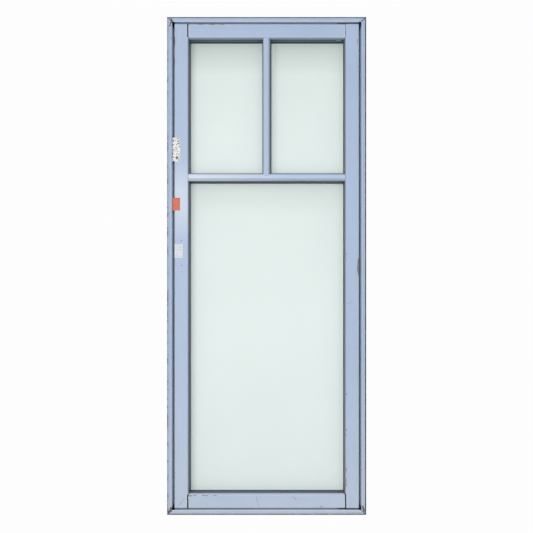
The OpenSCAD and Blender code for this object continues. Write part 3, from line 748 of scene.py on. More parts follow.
        # Painted highlight on the bevel at the foot, which faces up: less painted shade there and a touch of
        # pale colour
        foot = self.reveal.low + self.BEVEL_FOOT
        bevel = graph.remap(deep, *self.BEVEL, 1.0, 0.0)
        sunny = graph.times(bevel, graph.remap(xyz[2], foot, foot - self.FADE))
        clean = graph.times(sunny, graph.remap(deep, *self.BEVEL_LIT, 1.0, 0.45))
        share = graph.times(share, graph.minus(1.0, clean))
        # The painted shade's colour, darker and warmer towards the right, with black bands
        dirt = graph.mix(right, self.shade_blue, self.right_darkening)
        dirt = graph.mix(graph.steps(deep, self.REVEAL_DEPTH, self.REVEAL_BLACK), dirt, self.black)
        coat.lay(graph.times(graph.times(inside, sunny), 0.02), self.chalk_and_highlight)
        coat.lay(graph.times(inside, share), dirt)
        self._flake(coat)

    def _flake(self, coat: Coat) -> None:
        """Shows the pale place where a flake has come off the reveal.

        Args:
            coat: The paint so far.
        """
        graph = coat.graph
        spot = tuple(PHOTO.at(*self.flake, self.reveal.plane + self.flake_depth))
        away = graph.vector("MULTIPLY", graph.vector("SUBTRACT", coat.place, spot), self.FLAKE_STRETCH)
        away = graph.plus(graph.length(away, (0.0, 0.0, 0.0)), graph.wander(coat.place, 150.0, 5.0 * MM))
        coat.lay(graph.remap(away, *self.FLAKE, 0.85, 0.0), self.dusty)

    def _bar_sides(self, coat: Coat) -> None:
        """Paints shade on a glazing bar's sides, under the transom and deeper back, a painted sheen on the
        mullion's left side, and dark seams where the transom meets the stiles.

        Args:
            coat: The paint so far.
        """
        graph, xyz = coat.graph, coat.xyz
        node, axis = ("mullion_bar", 0) if self.run is Run.UPRIGHT else ("transom_bar", 2)
        lo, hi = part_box(node)
        near_low = graph.minus(xyz[axis], lo[axis])
        near_high = graph.minus(hi[axis], xyz[axis])
        if self.run is Run.UPRIGHT:
            share = graph.most(graph.remap(near_low, *self.MULLION_EDGE, 0.70, 0.0),
                               graph.steps(near_high, self.BAR_REACH, self.MULLION_SHADE))
            # Painted sheen on the mullion's left side
            coat.lay(graph.steps(near_low, self.SHEEN_REACH, self.MULLION_SHEEN), self.chalk_and_highlight)
        else:
            share = graph.most(graph.steps(near_high, self.BAR_REACH, self.TRANSOM_TOP),
                               graph.steps(near_low, self.BAR_REACH, self.TRANSOM_FOOT))
            seam = graph.size(graph.minus(graph.size(xyz[0]), self.bar_end))
            share = graph.most(share, graph.remap(seam, *self.SEAM, 0.5, 0.0))
        deep = graph.remap(graph.minus(xyz[1], lo.y), *self.BAR_DEEP)
        # Painted shade on the bar's sides, darker deeper back
        coat.lay(graph.most(share, deep), graph.mix(0.45, self.shade_blue, self.black))

    def _joint_line(self, coat: Coat) -> None:
        """Draws the open joints of stiles and rails: a ragged dark line between two painted highlights on
        ridges of paint.

        Args:
            coat: The paint so far.
        """
        graph, xyz = coat.graph, coat.xyz
        across, upright = self.joint.sides(coat)
        rail = graph.remap(upright, *self.JOINT_RAIL)
        wander = graph.wander(coat.place, 90.0, 3.6 * MM, 4.0, 0.7)
        aside = graph.size(graph.plus(graph.plus(across, self.JOINT_INSET), wander))
        # Painted highlights beside the joint
        coat.lay(graph.times(graph.remap(aside, *self.JOINT_HIGHLIGHT, 0.30, 0.0), rail), self.chalk_and_highlight)
        faint = graph.times(graph.remap(xyz[0], *self.FAINT_SIDE), graph.remap(xyz[2], *self.FAINT_TOP))
        strong = graph.times(rail, graph.remap(faint, 0.0, 1.0, 0.96, 0.5))
        coat.lay(graph.times(graph.remap(aside, *self.JOINT_LINE, 1.0, 0.0), strong), self.black)

    def _shade_corners(self, coat: Coat) -> None:
        """Paints black shade on the walls of the gap where it turns a corner.

        Args:
            coat: The paint so far.
        """
        graph = coat.graph
        across, upright = self.hole.sides(coat)
        corner = graph.remap(graph.math("MINIMUM", across, upright), *self.CORNER_LONG)
        wall = graph.remap(graph.size(graph.most(across, upright)), *self.CORNER_WALL, 1.0, 0.0)
        depth = graph.minus(coat.xyz[1], self.hole.plane)
        deep = graph.times(graph.remap(depth, *self.CORNER_START), graph.remap(depth, *self.CORNER_END, 1.0, 0.0))
        # Black painted shade deep in the gap's corners
        coat.lay(graph.times(graph.times(corner, wall), deep), self.black)

    def _outer_grime(self, coat: Coat) -> None:
        """Adds the dark line of dirt on the frame's outer chamfer and in its mitres.

        Args:
            coat: The paint so far.
        """
        graph = coat.graph
        across, upright = self.outer.sides(coat)
        edge = self.outer.measure(graph, coat.place)[0]
        noise = graph.noise(coat.place, 45.0, 4.0, 0.7)
        left = graph.times(graph.remap(noise, 0.50, 0.58, 0.38, 1.0), graph.remap(edge, *self.LEFT_GRIME))
        other = graph.times(graph.remap(noise, 0.38, 0.54, 0.80, 1.0), graph.remap(edge, *self.GRIME))
        side = graph.remap(coat.xyz[0], *self.LEFT_SIDE)
        coat.lay(graph.add("ShaderNodeMix", {0: side, 2: left, 3: other}).outputs[0], self.grime)
        mitre = graph.plus(graph.minus(across, upright), graph.wander(coat.place, 120.0, 3.0 * MM))
        coat.lay(graph.remap(graph.size(mitre), *self.MITRE, 0.95, 0.0), self.black)


@dataclass(frozen=True)
class BareWood:
    """Timber where the paint has gone: brown, greyed by the weather, with its grain showing."""

    name: str = "bare_timber"
    brown: Colour = (0.150, 0.098, 0.066)
    grey: Colour = (0.19, 0.17, 0.155)

    def make(self) -> Material:
        """Builds the bare timber.

        Returns:
            The material.
        """
        graph, shader, place = new_material(self.name)
        grain = graph.group(EFFECTS.brush, {"Place": place, "Stretch": Run.LEVEL.value})
        patch = graph.remap(graph.noise(place, 55.0), 0.4, 0.6)
        colour = graph.mix(patch, self.brown, self.grey)
        colour = graph.scaled(colour, graph.vary(grain, 0.7, 1.2))
        rough = graph.vary(grain, 0.75, 0.95)
        return finished(graph, shader, colour, rough, graph.bump(grain, 0.4, 0.4 * MM))


@dataclass(frozen=True)
class MetalFinish:
    """A metal with fine file marks, dull patches and a little tarnish."""

    name: str
    colour: Colour
    tarnish: Colour
    rough: float = 0.32
    stretch: Place = (60.0, 60.0, 900.0)

    ROUGH_SPREAD = 0.07
    TARNISH_ROUGH = 0.22

    def make(self) -> Material:
        """Builds the metal.

        Returns:
            The material.
        """
        graph, shader, place = new_material(self.name)
        marks = graph.group(EFFECTS.brush, {"Place": place, "Stretch": self.stretch})
        patch = graph.remap(graph.noise(place, 60.0, 5.0, 0.62), 0.46, 0.68, 0.0, 0.8)
        colour = graph.scaled(graph.mix(patch, self.colour, self.tarnish), graph.vary(marks, 0.9, 1.08))
        shader.inputs["Metallic"].default_value = 1.0
        rough = graph.vary(marks, self.rough - self.ROUGH_SPREAD, self.rough + self.ROUGH_SPREAD)
        rough = graph.plus(rough, graph.times(patch, self.TARNISH_ROUGH))
        return finished(graph, shader, colour, rough, graph.bump(marks, 0.15, 0.1 * MM))


@dataclass(frozen=True)
class MouldedFinish:
    """Rubber or nylon: one colour with a fine moulded skin, dusty flecks and pale scuffs."""

    name: str
    colour: Colour
    dust: Colour
    rough: float = 0.6
    dusty: float = 0.5

    def make(self) -> Material:
        """Builds the moulded finish.

        Returns:
            The material.
        """
        graph, shader, place = new_material(self.name)
        skin = graph.noise(place, 900.0, 2.0)
        patch = graph.remap(graph.noise(place, 35.0, 4.0), 0.42, 0.68, 0.0, self.dusty)
        flecks = graph.group(EFFECTS.flecks, {"Place": place, "Scale": 260.0, "Size": 0.16, "Share": 0.12})
        colour = graph.mix(graph.most(patch, graph.times(flecks, 0.4)), self.colour, self.dust)
        rough = graph.remap(patch, 0.0, 0.5, self.rough, self.rough + 0.2)
        return finished(graph, shader, colour, rough, graph.bump(skin, 0.2, 0.1 * MM))


@dataclass(frozen=True)
class ClearGlass:
    """The inner pane: clear, faintly green, with the gloss of clean float glass."""

    name: str = "inner_glass"
    tint: Colour = (0.955, 0.975, 0.965)

    def make(self) -> Material:
        """Builds the clear glass.

        Returns:
            The material.
        """
        graph, shader, place = new_material(self.name)
        output = next(n for n in graph.tree.nodes if n.type == "OUTPUT_MATERIAL")
        graph.tree.nodes.remove(shader)
        # A faint cloudy film on the clear glass
        film_and_shade = graph.remap(graph.noise(place, 5.0, 4.0), 0.35, 0.7, 1.0, 0.975)
        through = graph.add("ShaderNodeBsdfTransparent", {0: graph.scaled(self.tint, film_and_shade)})
        shine = graph.add("ShaderNodeBsdfGlossy", {"Roughness": 0.03})
        edge = graph.add("ShaderNodeFresnel", {"IOR": 1.45})
        lit = graph.minus(1.0, graph.add("ShaderNodeLightPath").outputs["Is Shadow Ray"])
        near = graph.minus(1.0, graph.add("ShaderNodeNewGeometry").outputs["Backfacing"])
        share = graph.times(graph.times(edge.outputs[0], near), lit)
        mixed = graph.add("ShaderNodeMixShader", {0: share, 1: through.outputs[0], 2: shine.outputs[0]})
        graph.feed(output.inputs[0], mixed.outputs[0])
        return owner(graph)


@dataclass(frozen=True)
class FrostedGlass:
    """The outer pane: an even pale satin sheet, with painted shade towards its top, foot and left edges,
    painted light along its left and top edges, and a dark line along the gasket.

    Attributes:
        name: The material's name.
        light: The edge of what shows of the pane.
        colour: The satin's colour.
        film_and_shade: The colour of the painted shade towards the edges.
        edge_light: The colour of the painted light along the left and top edges.
        dirt: The colour of the dark line along the gasket.
        top_shade: How strong the painted shade is at the top.
        top_seal: How dark the line along the top is.
        foot_seal: How dark the line along the foot is.
        foot_reach: How far the line along the foot reaches up.
        right_seal: How dark the line along the right side is.
        edge_light_reach: How far the painted light reaches from the left side.
        edge_light_share: How strong the painted light is.
        see_through: The share of light that passes through.
        bend: The glass's index of refraction.
    """

    name: str
    light: Rim
    colour: Colour = (0.794, 0.876, 0.856)
    film_and_shade: Colour = (0.40, 0.46, 0.43)
    edge_light: Colour = (0.85, 0.95, 0.95)
    dirt: Colour = (0.06, 0.075, 0.08)
    top_shade: float = 0.24
    top_seal: float = 0.0
    foot_seal: float = 0.9
    foot_reach: float = 2.6 * MM
    right_seal: float = 0.0
    edge_light_reach: float = 11.0 * MM
    edge_light_share: float = 0.15
    see_through: float = 0.06
    bend: float = 1.15

    # Distances from the pane's edges
    EDGE = 1.0 * MM
    HIGH_SHADE = (0.0, 100.0 * MM)
    LONG_SHADE = (100.0 * MM, 420.0 * MM)
    FOOT_SHADE = (0.0, 50.0 * MM)
    LEFT_SHADE = (1.0 * MM, 22.0 * MM)
    TOP_LIGHT = (1.0 * MM, 6.0 * MM)
    TOP_SEAL = (2.6 * MM, 4.2 * MM)
    RIGHT_SEAL = (1.8 * MM, 3.0 * MM)
    SEAL_FADE = 0.7 * MM

    def make(self) -> Material:
        """Builds the frosted glass.

        Returns:
            The material.
        """
        graph, shader, place = new_material(self.name)
        xyz = graph.parts(place)
        cloud = graph.noise(place, 4.0, 3.0)
        left = graph.minus(xyz[0], self.light.centre - self.light.half_width)
        top = graph.minus(self.light.high, xyz[2])
        bottom = graph.minus(xyz[2], self.light.low)
        right = graph.minus(2 * self.light.half_width, left)
        # Painted shade towards the top, the foot and the left edge
        film_and_shade = graph.plus(graph.remap(top, *self.HIGH_SHADE, self.top_shade, 0.0),
                          graph.remap(top, *self.LONG_SHADE, self.top_shade / 4, 0.0))
        film_and_shade = graph.plus(film_and_shade, graph.remap(bottom, *self.FOOT_SHADE, 0.10, 0.0))
        film_and_shade = graph.plus(film_and_shade, graph.remap(left, *self.LEFT_SHADE, 0.44, 0.0))
        colour = graph.mix(film_and_shade, self.colour, self.film_and_shade)
        # Painted light along the left and top edges
        lit_edge = graph.most(graph.remap(left, self.EDGE, self.edge_light_reach, self.edge_light_share, 0.0),
                            graph.remap(top, *self.TOP_LIGHT, 0.2, 0.0))
        colour = graph.mix(lit_edge, colour, self.edge_light)
        # A darker line along the gasket at the top, foot and right side
        foot = graph.remap(bottom, self.foot_reach, self.foot_reach + self.SEAL_FADE, self.foot_seal, 0.0)
        seal = graph.most(graph.remap(top, *self.TOP_SEAL, self.top_seal, 0.0), foot)
        seal = graph.most(seal, graph.remap(right, *self.RIGHT_SEAL, self.right_seal, 0.0))
        colour = graph.mix(seal, colour, self.dirt)
        colour = graph.scaled(colour, graph.vary(cloud, 0.985, 1.015))
        shader.inputs["Transmission Weight"].default_value = self.see_through
        shader.inputs["IOR"].default_value = self.bend
        return finished(graph, shader, colour, graph.vary(cloud, 0.45, 0.52))


@dataclass(frozen=True)
class PaperFinish:
    """A blank paper label: faded, scuffed, and spotted with dirt.

    Attributes:
        name: The material's name.
        colour: The paper's colour.
        border: Its colour where it has faded.
        dirt: The dirt's colour.
        spotted: The share of it that has small specks.
        spots: Larger spots of dirt, as pixels across and down in the picture and a radius in pixels.
        plane: The depth of the face that it is stuck on.
    """

    name: str
    colour: Colour
    border: Colour
    dirt: Colour = (0.03, 0.03, 0.035)
    spotted: float = 0.05
    spots: tuple[Place, ...] = ()
    plane: float = 0.0

    SPOT_CORE = 0.6

    def make(self) -> Material:
        """Builds the paper.

        Returns:
            The material.
        """
        graph, shader, place = new_material(self.name)
        fibre = graph.noise(place, 600.0, 3.0)
        patch = graph.remap(graph.noise(place, 70.0, 4.0), 0.38, 0.62)
        spots = graph.group(EFFECTS.flecks, {
            "Place": place, "Scale": 260.0, "Size": 0.42, "Share": self.spotted})
        colour = graph.mix(patch, self.border, self.colour)
        colour = graph.mix(graph.times(spots, 0.85), colour, self.dirt)
        ragged = graph.wander(place, 420.0, 3.0 * MM)
        for px, py, radius in self.spots:
            away = graph.plus(graph.length(place, tuple(PHOTO.at(px, py, self.plane))), ragged)
            reach = radius * PHOTO.pixel
            mark = graph.remap(away, reach * self.SPOT_CORE, reach, 0.85, 0.0)
            colour = graph.mix(mark, colour, self.dirt)
        rough = graph.vary(fibre, 0.55, 0.75)
        return finished(graph, shader, colour, rough, graph.bump(fibre, 0.2, 0.1 * MM))


@dataclass(frozen=True)
class Mark:
    """One knock in the paint, placed by what the photograph shows.

    Attributes:
        members: The timbers that it cuts.
        path: Its places in the picture, in pixels.
        half: Half its width, in pixels.
        depth: How deep it goes, in metres.
        kind: Chip, score or nail hole.
        dirty: True where it is black inside.
    """

    members: tuple[str, ...]
    path: tuple[Point, ...]
    half: float = 0.5
    depth: float = 1.2 * MM
    kind: Knock = Knock.CHIP
    dirty: bool = False


class Carver:
    """Makes the cutters for the knocks in one timber and takes them out of a copy of it."""

    LUMP_STEP = 0.8
    LUMP_ROUGH = (0.72, 1.18)
    NICK_SIZE = (0.35, 1.0)
    NICK_LONG = (0.8, 2.6)
    CHIP_SHIFT = (-0.25, 0.25)
    CHIP_WIDE = (0.7, 1.15)
    CHIP_DEEP = (0.7, 1.2)
    NAIL_SIDES = 14
    NAIL_TAPER = 0.8
    SCORE_STEP = 1.2
    SCORE_END = 0.25
    SCORE_WIDE = (0.65, 1.3)
    SCORE_SHIFT = (-0.5, 0.5)
    SCORE_LIFT = 0.6 * MM

    def __init__(self, seed: int, plane: float) -> None:
        """Starts with no cutters.

        Args:
            seed: The seed of the ragged shapes.
            plane: The depth of the timber's face.
        """
        self.random = random.Random(seed)
        self.plane = plane
        self.mesh = bmesh.new()

    def cut(self, mark: Mark) -> None:
        """Adds the cutters of one knock.

        Args:
            mark: The knock.
        """
        before = len(self.mesh.faces)
        if mark.kind is Knock.NAIL:
            self._nail(mark)
        elif mark.kind is Knock.SCORE:
            self._score(mark)
        else:
            self._chips(mark)
        self.mesh.faces.ensure_lookup_table()
        for face in self.mesh.faces[before:]:
            face.material_index = int(mark.dirty)

    def nicks(self, start: Vector, end: Vector, count: int, size: float) -> None:
        """Adds small knocks along an arris.

        Args:
            start: One end of the arris.
            end: The other end.
            count: How many there are.
            size: The radius of the largest.
        """
        for _ in range(count):
            spot = start.lerp(end, self.random.random())
            radius = size * self.random.uniform(*self.NICK_SIZE)
            along = radius * self.random.uniform(*self.NICK_LONG)
            upright = abs(end.z - start.z) > abs(end.x - start.x)
            half = (radius, radius, along) if upright else (along, radius, radius)
            self._lump(spot, Vector(half))

    @staticmethod
    def _walk(path: tuple[Point, ...], step: float) -> list[Point]:
        """Walks along a path in the picture.

        Args:
            path: Its corners, in pixels.
            step: About how far apart the places are.

        Returns:
            The places.
        """
        spots = [path[0]]
        for (ax, ay), (bx, by) in zip(path, path[1:]):
            pieces = max(1, round(math.dist((ax, ay), (bx, by)) / step))
            for i in range(1, pieces + 1):
                spots.append((ax + (bx - ax) * i / pieces, ay + (by - ay) * i / pieces))
        return spots

    def _lump(self, centre: Vector, half: Vector) -> None:
        """Adds one ragged lump.

        Args:
            centre: Its middle.
            half: Half its size each way.
        """
        made = bmesh.ops.create_icosphere(self.mesh, subdivisions=2, radius=1.0)
        for vert in made["verts"]:
            rough = self.random.uniform(*self.LUMP_ROUGH)
            vert.co = centre + vert.co * half * rough

    def _chips(self, mark: Mark) -> None:
        """Adds a row of lumps along a mark's path.

        Args:
            mark: The knock.
        """
        for px, py in self._walk(mark.path, self.LUMP_STEP):
            jitter = self.random.uniform(*self.CHIP_SHIFT) * mark.half
            half = mark.half * PHOTO.pixel * self.random.uniform(*self.CHIP_WIDE)
            depth = mark.depth * self.random.uniform(*self.CHIP_DEEP)
            self._lump(PHOTO.at(px + jitter, py + jitter, self.plane), Vector((half, depth, half)))

    def _nail(self, mark: Mark) -> None:
        """Adds a round hole with a flat floor at each place.

        Args:
            mark: The knock.
        """
        for px, py in mark.path:
            radius = mark.half * PHOTO.pixel
            made = bmesh.ops.create_cone(self.mesh, cap_ends=True, segments=self.NAIL_SIDES, radius1=radius,
                                         radius2=radius * self.NAIL_TAPER, depth=2 * mark.depth)
            centre = PHOTO.at(px, py, self.plane)
            for vert in made["verts"]:
                vert.co = centre + Vector((vert.co.x, vert.co.z, -vert.co.y))

    def _score(self, mark: Mark) -> None:
        """Adds a V-shaped cut along a mark's path, ragged and thinning to its ends.

        Args:
            mark: The knock.
        """
        spots = [PHOTO.at(px, py, self.plane) for px, py in self._walk(mark.path, self.SCORE_STEP)]
        lift = Vector((0, -self.SCORE_LIFT, 0))
        rings = []
        for i, spot in enumerate(spots):
            ahead = spots[min(i + 1, len(spots) - 1)] - spots[max(i - 1, 0)]
            side = Vector((ahead.z, 0, -ahead.x)).normalized()
            share = self.SCORE_END + (1 - self.SCORE_END) * math.sin(math.pi * (i + 0.5) / len(spots))
            half = mark.half * PHOTO.pixel * share * self.random.uniform(*self.SCORE_WIDE)
            spot = spot + side * half * self.random.uniform(*self.SCORE_SHIFT)
            corners = (lift - side * half, lift + side * half, Vector((0, mark.depth * share, 0)))
            rings.append([self.mesh.verts.new(spot + corner) for corner in corners])
        faces = [self.mesh.faces.new(rings[0]), self.mesh.faces.new(rings[-1][::-1])]
        for a, b in zip(rings, rings[1:]):
            faces += [self.mesh.faces.new((a[j], a[(j + 1) % 3], b[(j + 1) % 3], b[j])) for j in range(3)]
        bmesh.ops.recalc_face_normals(self.mesh, faces=faces)

    def carve(self, node: str, paint: Material) -> SceneObject:
        """Takes the cutters out of a merged copy of a timber.

        Args:
            node: The CAD node to copy.
            paint: The finish of its skin.

        Returns:
            The new piece.
        """
        name = "painted_" + node
        piece = merged_copy(node, name, paint)
        if len(self.mesh.faces):
            tool_mesh = bpy.data.meshes.new(name + "_knocks")
            self.mesh.to_mesh(tool_mesh)
            tool_mesh.materials.append(BARE)
            tool_mesh.materials.append(DIRT)
            tool = bpy.data.objects.new(name + "_knocks", tool_mesh)
            bpy.context.scene.collection.objects.link(tool)
            cut = piece.modifiers.new("knocks", "BOOLEAN")
            cut.object = tool
            cut.operation = "DIFFERENCE"
            cut.solver = "EXACT"
            cut.use_self = True
            cut.material_mode = "TRANSFER"
            settle(piece)
            bpy.data.objects.remove(tool)
        self.mesh.free()
        return piece


def link_mesh(name: str, source: LooseMesh, *materials: Material) -> SceneObject:
    """Puts a finished mesh in the scene.

    Args:
        name: The piece's name.
        source: Its mesh, which is freed.
        materials: Its material slots.

    Returns:
        The new object, at the origin.
    """
    mesh = bpy.data.meshes.new(name)
    source.to_mesh(mesh)
    source.free()
    for material in materials:
        mesh.materials.append(material)
    piece = bpy.data.objects.new(name, mesh)
    bpy.context.scene.collection.objects.link(piece)
    return piece


def merged_copy(node: str, name: str, material: Material) -> SceneObject:
    """Copies a CAD node's mesh with its loose triangles joined up.

    Args:
        node: The CAD node.
        name: The copy's name.
        material: Its finish.

    Returns:
        The copy.
    """
    copy = bmesh.new()
    copy.from_mesh(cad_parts[node].data)
    bmesh.ops.remove_doubles(copy, verts=copy.verts, dist=TOUCHING)
    for face in copy.faces:
        face.material_index = 0
    return link_mesh(name, copy, material)


def settle(piece: SceneObject) -> None:
    """Turns a piece's modifiers into its plain mesh.

    Args:
        piece: The piece.
    """
    bpy.context.view_layer.update()
    graph = bpy.context.evaluated_depsgraph_get()
    result = bpy.data.meshes.new_from_object(piece.evaluated_get(graph))
    piece.modifiers.clear()
    piece.data = result


def place_piece(piece: SceneObject, body: Body, slot: Slot, *nodes: str) -> None:
    """Settles what a piece moves with and stands for.

    Args:
        piece: The piece.
        body: What it moves with.
        slot: Not used.
        nodes: The CAD nodes that it stands for.
    """
    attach(piece, body.value)
    if nodes:
        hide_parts(*nodes)
    LOG.info("%s: %d faces on %s", piece.name, len(piece.data.polygons), body.value)


def dress(node: str, material: Material) -> None:
    """Gives a CAD node its finish.

    Args:
        node: The CAD node.
        material: The finish.
    """
    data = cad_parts[node].data
    data.materials.clear()
    data.materials.append(material)
    LOG.info("%s: %s", node, material.name)


BARE = BareWood().make()
DIRT = BareWood("black_joint", (0.012, 0.010, 0.009), (0.035, 0.028, 0.024)).make()


class GeometryTree:
    """A Geometry Nodes tree with named inputs."""

    def __init__(self, name: str, *inputs: str) -> None:
        """Starts a tree that takes and gives geometry.

        Args:
            name: The tree's name.
            inputs: The names of its sizes.
        """
        self.tree = bpy.data.node_groups.new(name, "GeometryNodeTree")
        interface = self.tree.interface
        interface.new_socket("Geometry", in_out="INPUT", socket_type="NodeSocketGeometry")
        for label in inputs:
            interface.new_socket(label, in_out="INPUT", socket_type="NodeSocketFloat")
        interface.new_socket("Geometry", in_out="OUTPUT", socket_type="NodeSocketGeometry")
        self.graph = Graph(self.tree)
        self.source = self.graph.add("NodeGroupInput").outputs

    def close(self, instances: Socket, material: Material) -> Tree:
        """Ends the tree in plain geometry with a finish.

        Args:
            instances: What has been placed.
            material: The finish.

        Returns:
            The tree.
        """
        real = self.graph.add("GeometryNodeRealizeInstances", {0: instances}).outputs[0]
        painted = self.graph.add("GeometryNodeSetMaterial", {"Geometry": real, "Material": material})
        self.graph.add("NodeGroupOutput", {0: painted.outputs[0]})
        return self.tree


class PinTree:
    """Domed pins at even steps along lines."""

    SEGMENTS = 12
    RINGS = 8
    SINK = 0.35

    def make(self, material: Material) -> Tree:
        """Builds the tree.

        Args:
            material: The pins' finish.

        Returns:
            The tree.
        """
        nodes = GeometryTree("bead pins", "Spacing", "Radius")
        graph, source = nodes.graph, nodes.source
        lines = graph.add("GeometryNodeMeshToCurve", {0: source["Geometry"]}).outputs[0]
        spaced = {"Curve": lines, "Length": source["Spacing"]}
        even = graph.add("GeometryNodeResampleCurve", spaced, mode="LENGTH").outputs[0]
        head = graph.add("GeometryNodeMeshUVSphere", {
            "Segments": self.SEGMENTS, "Rings": self.RINGS, "Radius": source["Radius"]}).outputs[0]
        flat = graph.add("GeometryNodeTransform", {"Geometry": head, "Scale": (1.0, self.SINK, 1.0)})
        placed = graph.add("GeometryNodeInstanceOnPoints", {"Points": even, "Instance": flat.outputs[0]})
        return nodes.close(placed.outputs[0], material)


class ScrewTree:
    """Slotted countersunk screws, one at each point, each turned its own way.

    A plain rod of five rings, at heights from -2 to 2, is turned into the screw's outline.
    """

    SIDES = 24
    SEED = 5
    RIM = 0.24
    CONE = 1.24
    SLOT = (0.78, 0.15, 1.0)
    SLOT_DEPTH = 0.25
    POINT = 2.0
    BLUNT = 0.15
    ROD = {"Vertices": SIDES, "Side Segments": 4, "Radius": 1.0, "Depth": 4.0}
    ABOVE_TIP = (-1.6, -1.4)
    ABOVE_NECK = (-0.6, -0.4)
    ABOVE_FOOT = (0.4, 0.6)
    ABOVE_RIM = (1.4, 1.6)

    def make(self, material: Material) -> Tree:
        """Builds the tree.

        Args:
            material: The screws' finish.

        Returns:
            The tree.
        """
        nodes = GeometryTree("slotted screws", "Head Radius", "Shank Radius", "Length")
        graph, source = nodes.graph, nodes.source
        screw = self._screw(graph, source)
        outward = graph.add("GeometryNodeInputNamedAttribute", {"Name": "outward"}, data_type="FLOAT_VECTOR")
        facing = graph.add("FunctionNodeAlignRotationToVector", {"Vector": outward.outputs[0]}, axis="Z")
        turn = graph.add("FunctionNodeRandomValue", {3: math.tau, "Seed": self.SEED}, data_type="FLOAT")
        spin = graph.add("FunctionNodeAxisAngleToRotation", {
            "Axis": (0.0, 0.0, 1.0), "Angle": turn.outputs[1]})
        turned = graph.add("FunctionNodeRotateRotation", {0: facing.outputs[0], 1: spin.outputs[0]},
                           rotation_space="LOCAL")
        placed = graph.add("GeometryNodeInstanceOnPoints", {
            "Points": source["Geometry"], "Instance": screw, "Rotation": turned.outputs[0]})
        return nodes.close(placed.outputs[0], material)

    def _screw(self, graph: Graph, source: Any) -> Socket:
        """Makes one screw: a turned rod with a slot sunk into its top.

        Args:
            graph: The tree's graph.
            source: The tree's inputs.

        Returns:
            The screw's mesh.
        """
        rod = graph.add("GeometryNodeMeshCylinder", self.ROD).outputs
        turned = graph.add("GeometryNodeSetPosition", {
            "Geometry": rod["Mesh"], "Position": self._profile(graph, source)}).outputs[0]
        top = {"Mesh": turned, "Selection": rod["Top"], "Offset Scale": 0.0, "Individual": False}
        face = graph.add("GeometryNodeExtrudeMesh", top, mode="FACES").outputs
        here = graph.add("GeometryNodeInputPosition").outputs[0]
        slim = graph.add("GeometryNodeSetPosition", {
            "Geometry": face["Mesh"], "Selection": face["Top"],
            "Position": graph.vector("MULTIPLY", here, self.SLOT)}).outputs[0]
        sunk = graph.add("ShaderNodeCombineXYZ", {2: graph.times(source["Head Radius"], -self.SLOT_DEPTH)})
        floor = {"Mesh": slim, "Selection": face["Top"], "Offset": sunk.outputs[0], "Offset Scale": 1.0,
                 "Individual": False}
        return graph.add("GeometryNodeExtrudeMesh", floor, mode="FACES").outputs["Mesh"]

    def _profile(self, graph: Graph, source: Any) -> Socket:
        """Finds where the rod's rings go: the tip, the neck, the countersink's foot and rim, and the top.

        Args:
            graph: The tree's graph.
            source: The tree's inputs.

        Returns:
            The new positions.
        """
        xyz = graph.parts(graph.add("GeometryNodeInputPosition").outputs[0])
        shank = source["Shank Radius"]
        radius = graph.remap(xyz[2], *self.ABOVE_TIP, graph.times(shank, self.BLUNT), shank)
        radius = graph.remap(xyz[2], *self.ABOVE_FOOT, radius, source["Head Radius"])
        tip = graph.times(source["Length"], -1.0)
        height = graph.remap(xyz[2], *self.ABOVE_TIP, tip, graph.plus(tip, graph.times(shank, self.POINT)))
        height = graph.remap(xyz[2], *self.ABOVE_NECK, height, graph.times(shank, -self.CONE))
        height = graph.remap(xyz[2], *self.ABOVE_FOOT, height, graph.times(shank, -self.RIM))
        height = graph.remap(xyz[2], *self.ABOVE_RIM, height, 0.0)
        return graph.add("ShaderNodeCombineXYZ", {
            0: graph.times(xyz[0], radius), 1: graph.times(xyz[1], radius), 2: height}).outputs[0]


def run_tree(piece: SceneObject, tree: Tree, sizes: dict[str, float]) -> None:
    """Runs a Geometry Nodes tree on a piece and keeps the plain mesh.

    Args:
        piece: What the tree starts from.
        tree: The tree.
        sizes: Its inputs by name.
    """
    modifier = piece.modifiers.new(tree.name, "NODES")
    modifier.node_group = tree
    for item in tree.interface.items_tree:
        if item.in_out == "INPUT" and item.name in sizes:
            modifier[item.identifier] = sizes[item.name]
    settle(piece)


AGED_BRASS = MetalFinish("aged_brass", (0.72, 0.52, 0.24), (0.26, 0.18, 0.09), 0.3).make()
ZINC_STEEL = MetalFinish("zinc_steel", (0.62, 0.63, 0.64), (0.30, 0.29, 0.28), 0.34).make()


@dataclass
class Joinery:
    """Timbers that share one face, with knocks in it and nicks along their outer arrises.

    Attributes:
        body: What they move with.
        face: The depth of their face.
        seed: The seed of the first timber's knocks.
        nick: The radius of the largest nick.
        level_nicks: How many nicks a level timber has.
        upright_nicks: How many nicks an upright timber has.
        timbers: The timbers, and which way each runs.
        marks: The knocks.
    """

    body: Body
    face: float
    seed: int
    nick: float
    level_nicks: int
    upright_nicks: int
    timbers: dict[str, Run]
    marks: tuple[Mark, ...]

    def carve(self, paints: dict[Run, Material]) -> None:
        """Carves and paints each timber.

        Args:
            paints: The paint for each run of the timber.
        """
        for number, (node, run) in enumerate(self.timbers.items()):
            carver = Carver(self.seed + number, self.face)
            for mark in self.marks:
                if node in mark.members:
                    carver.cut(mark)
            lo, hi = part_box(node)
            start, end = Vector((lo.x, self.face, lo.z)), Vector((hi.x, self.face, hi.z))
            if run is Run.UPRIGHT:
                start.x = end.x = lo.x if lo.x + hi.x < 0 else hi.x
                carver.nicks(start, end, self.upright_nicks, self.nick)
            else:
                start.z = end.z = hi.z if lo.z + hi.z > CAD_BOX[1][2] else lo.z
                carver.nicks(start, end, self.level_nicks, self.nick)
            place_piece(carver.carve(node, paints[run]), self.body, Slot.PAINT, node)


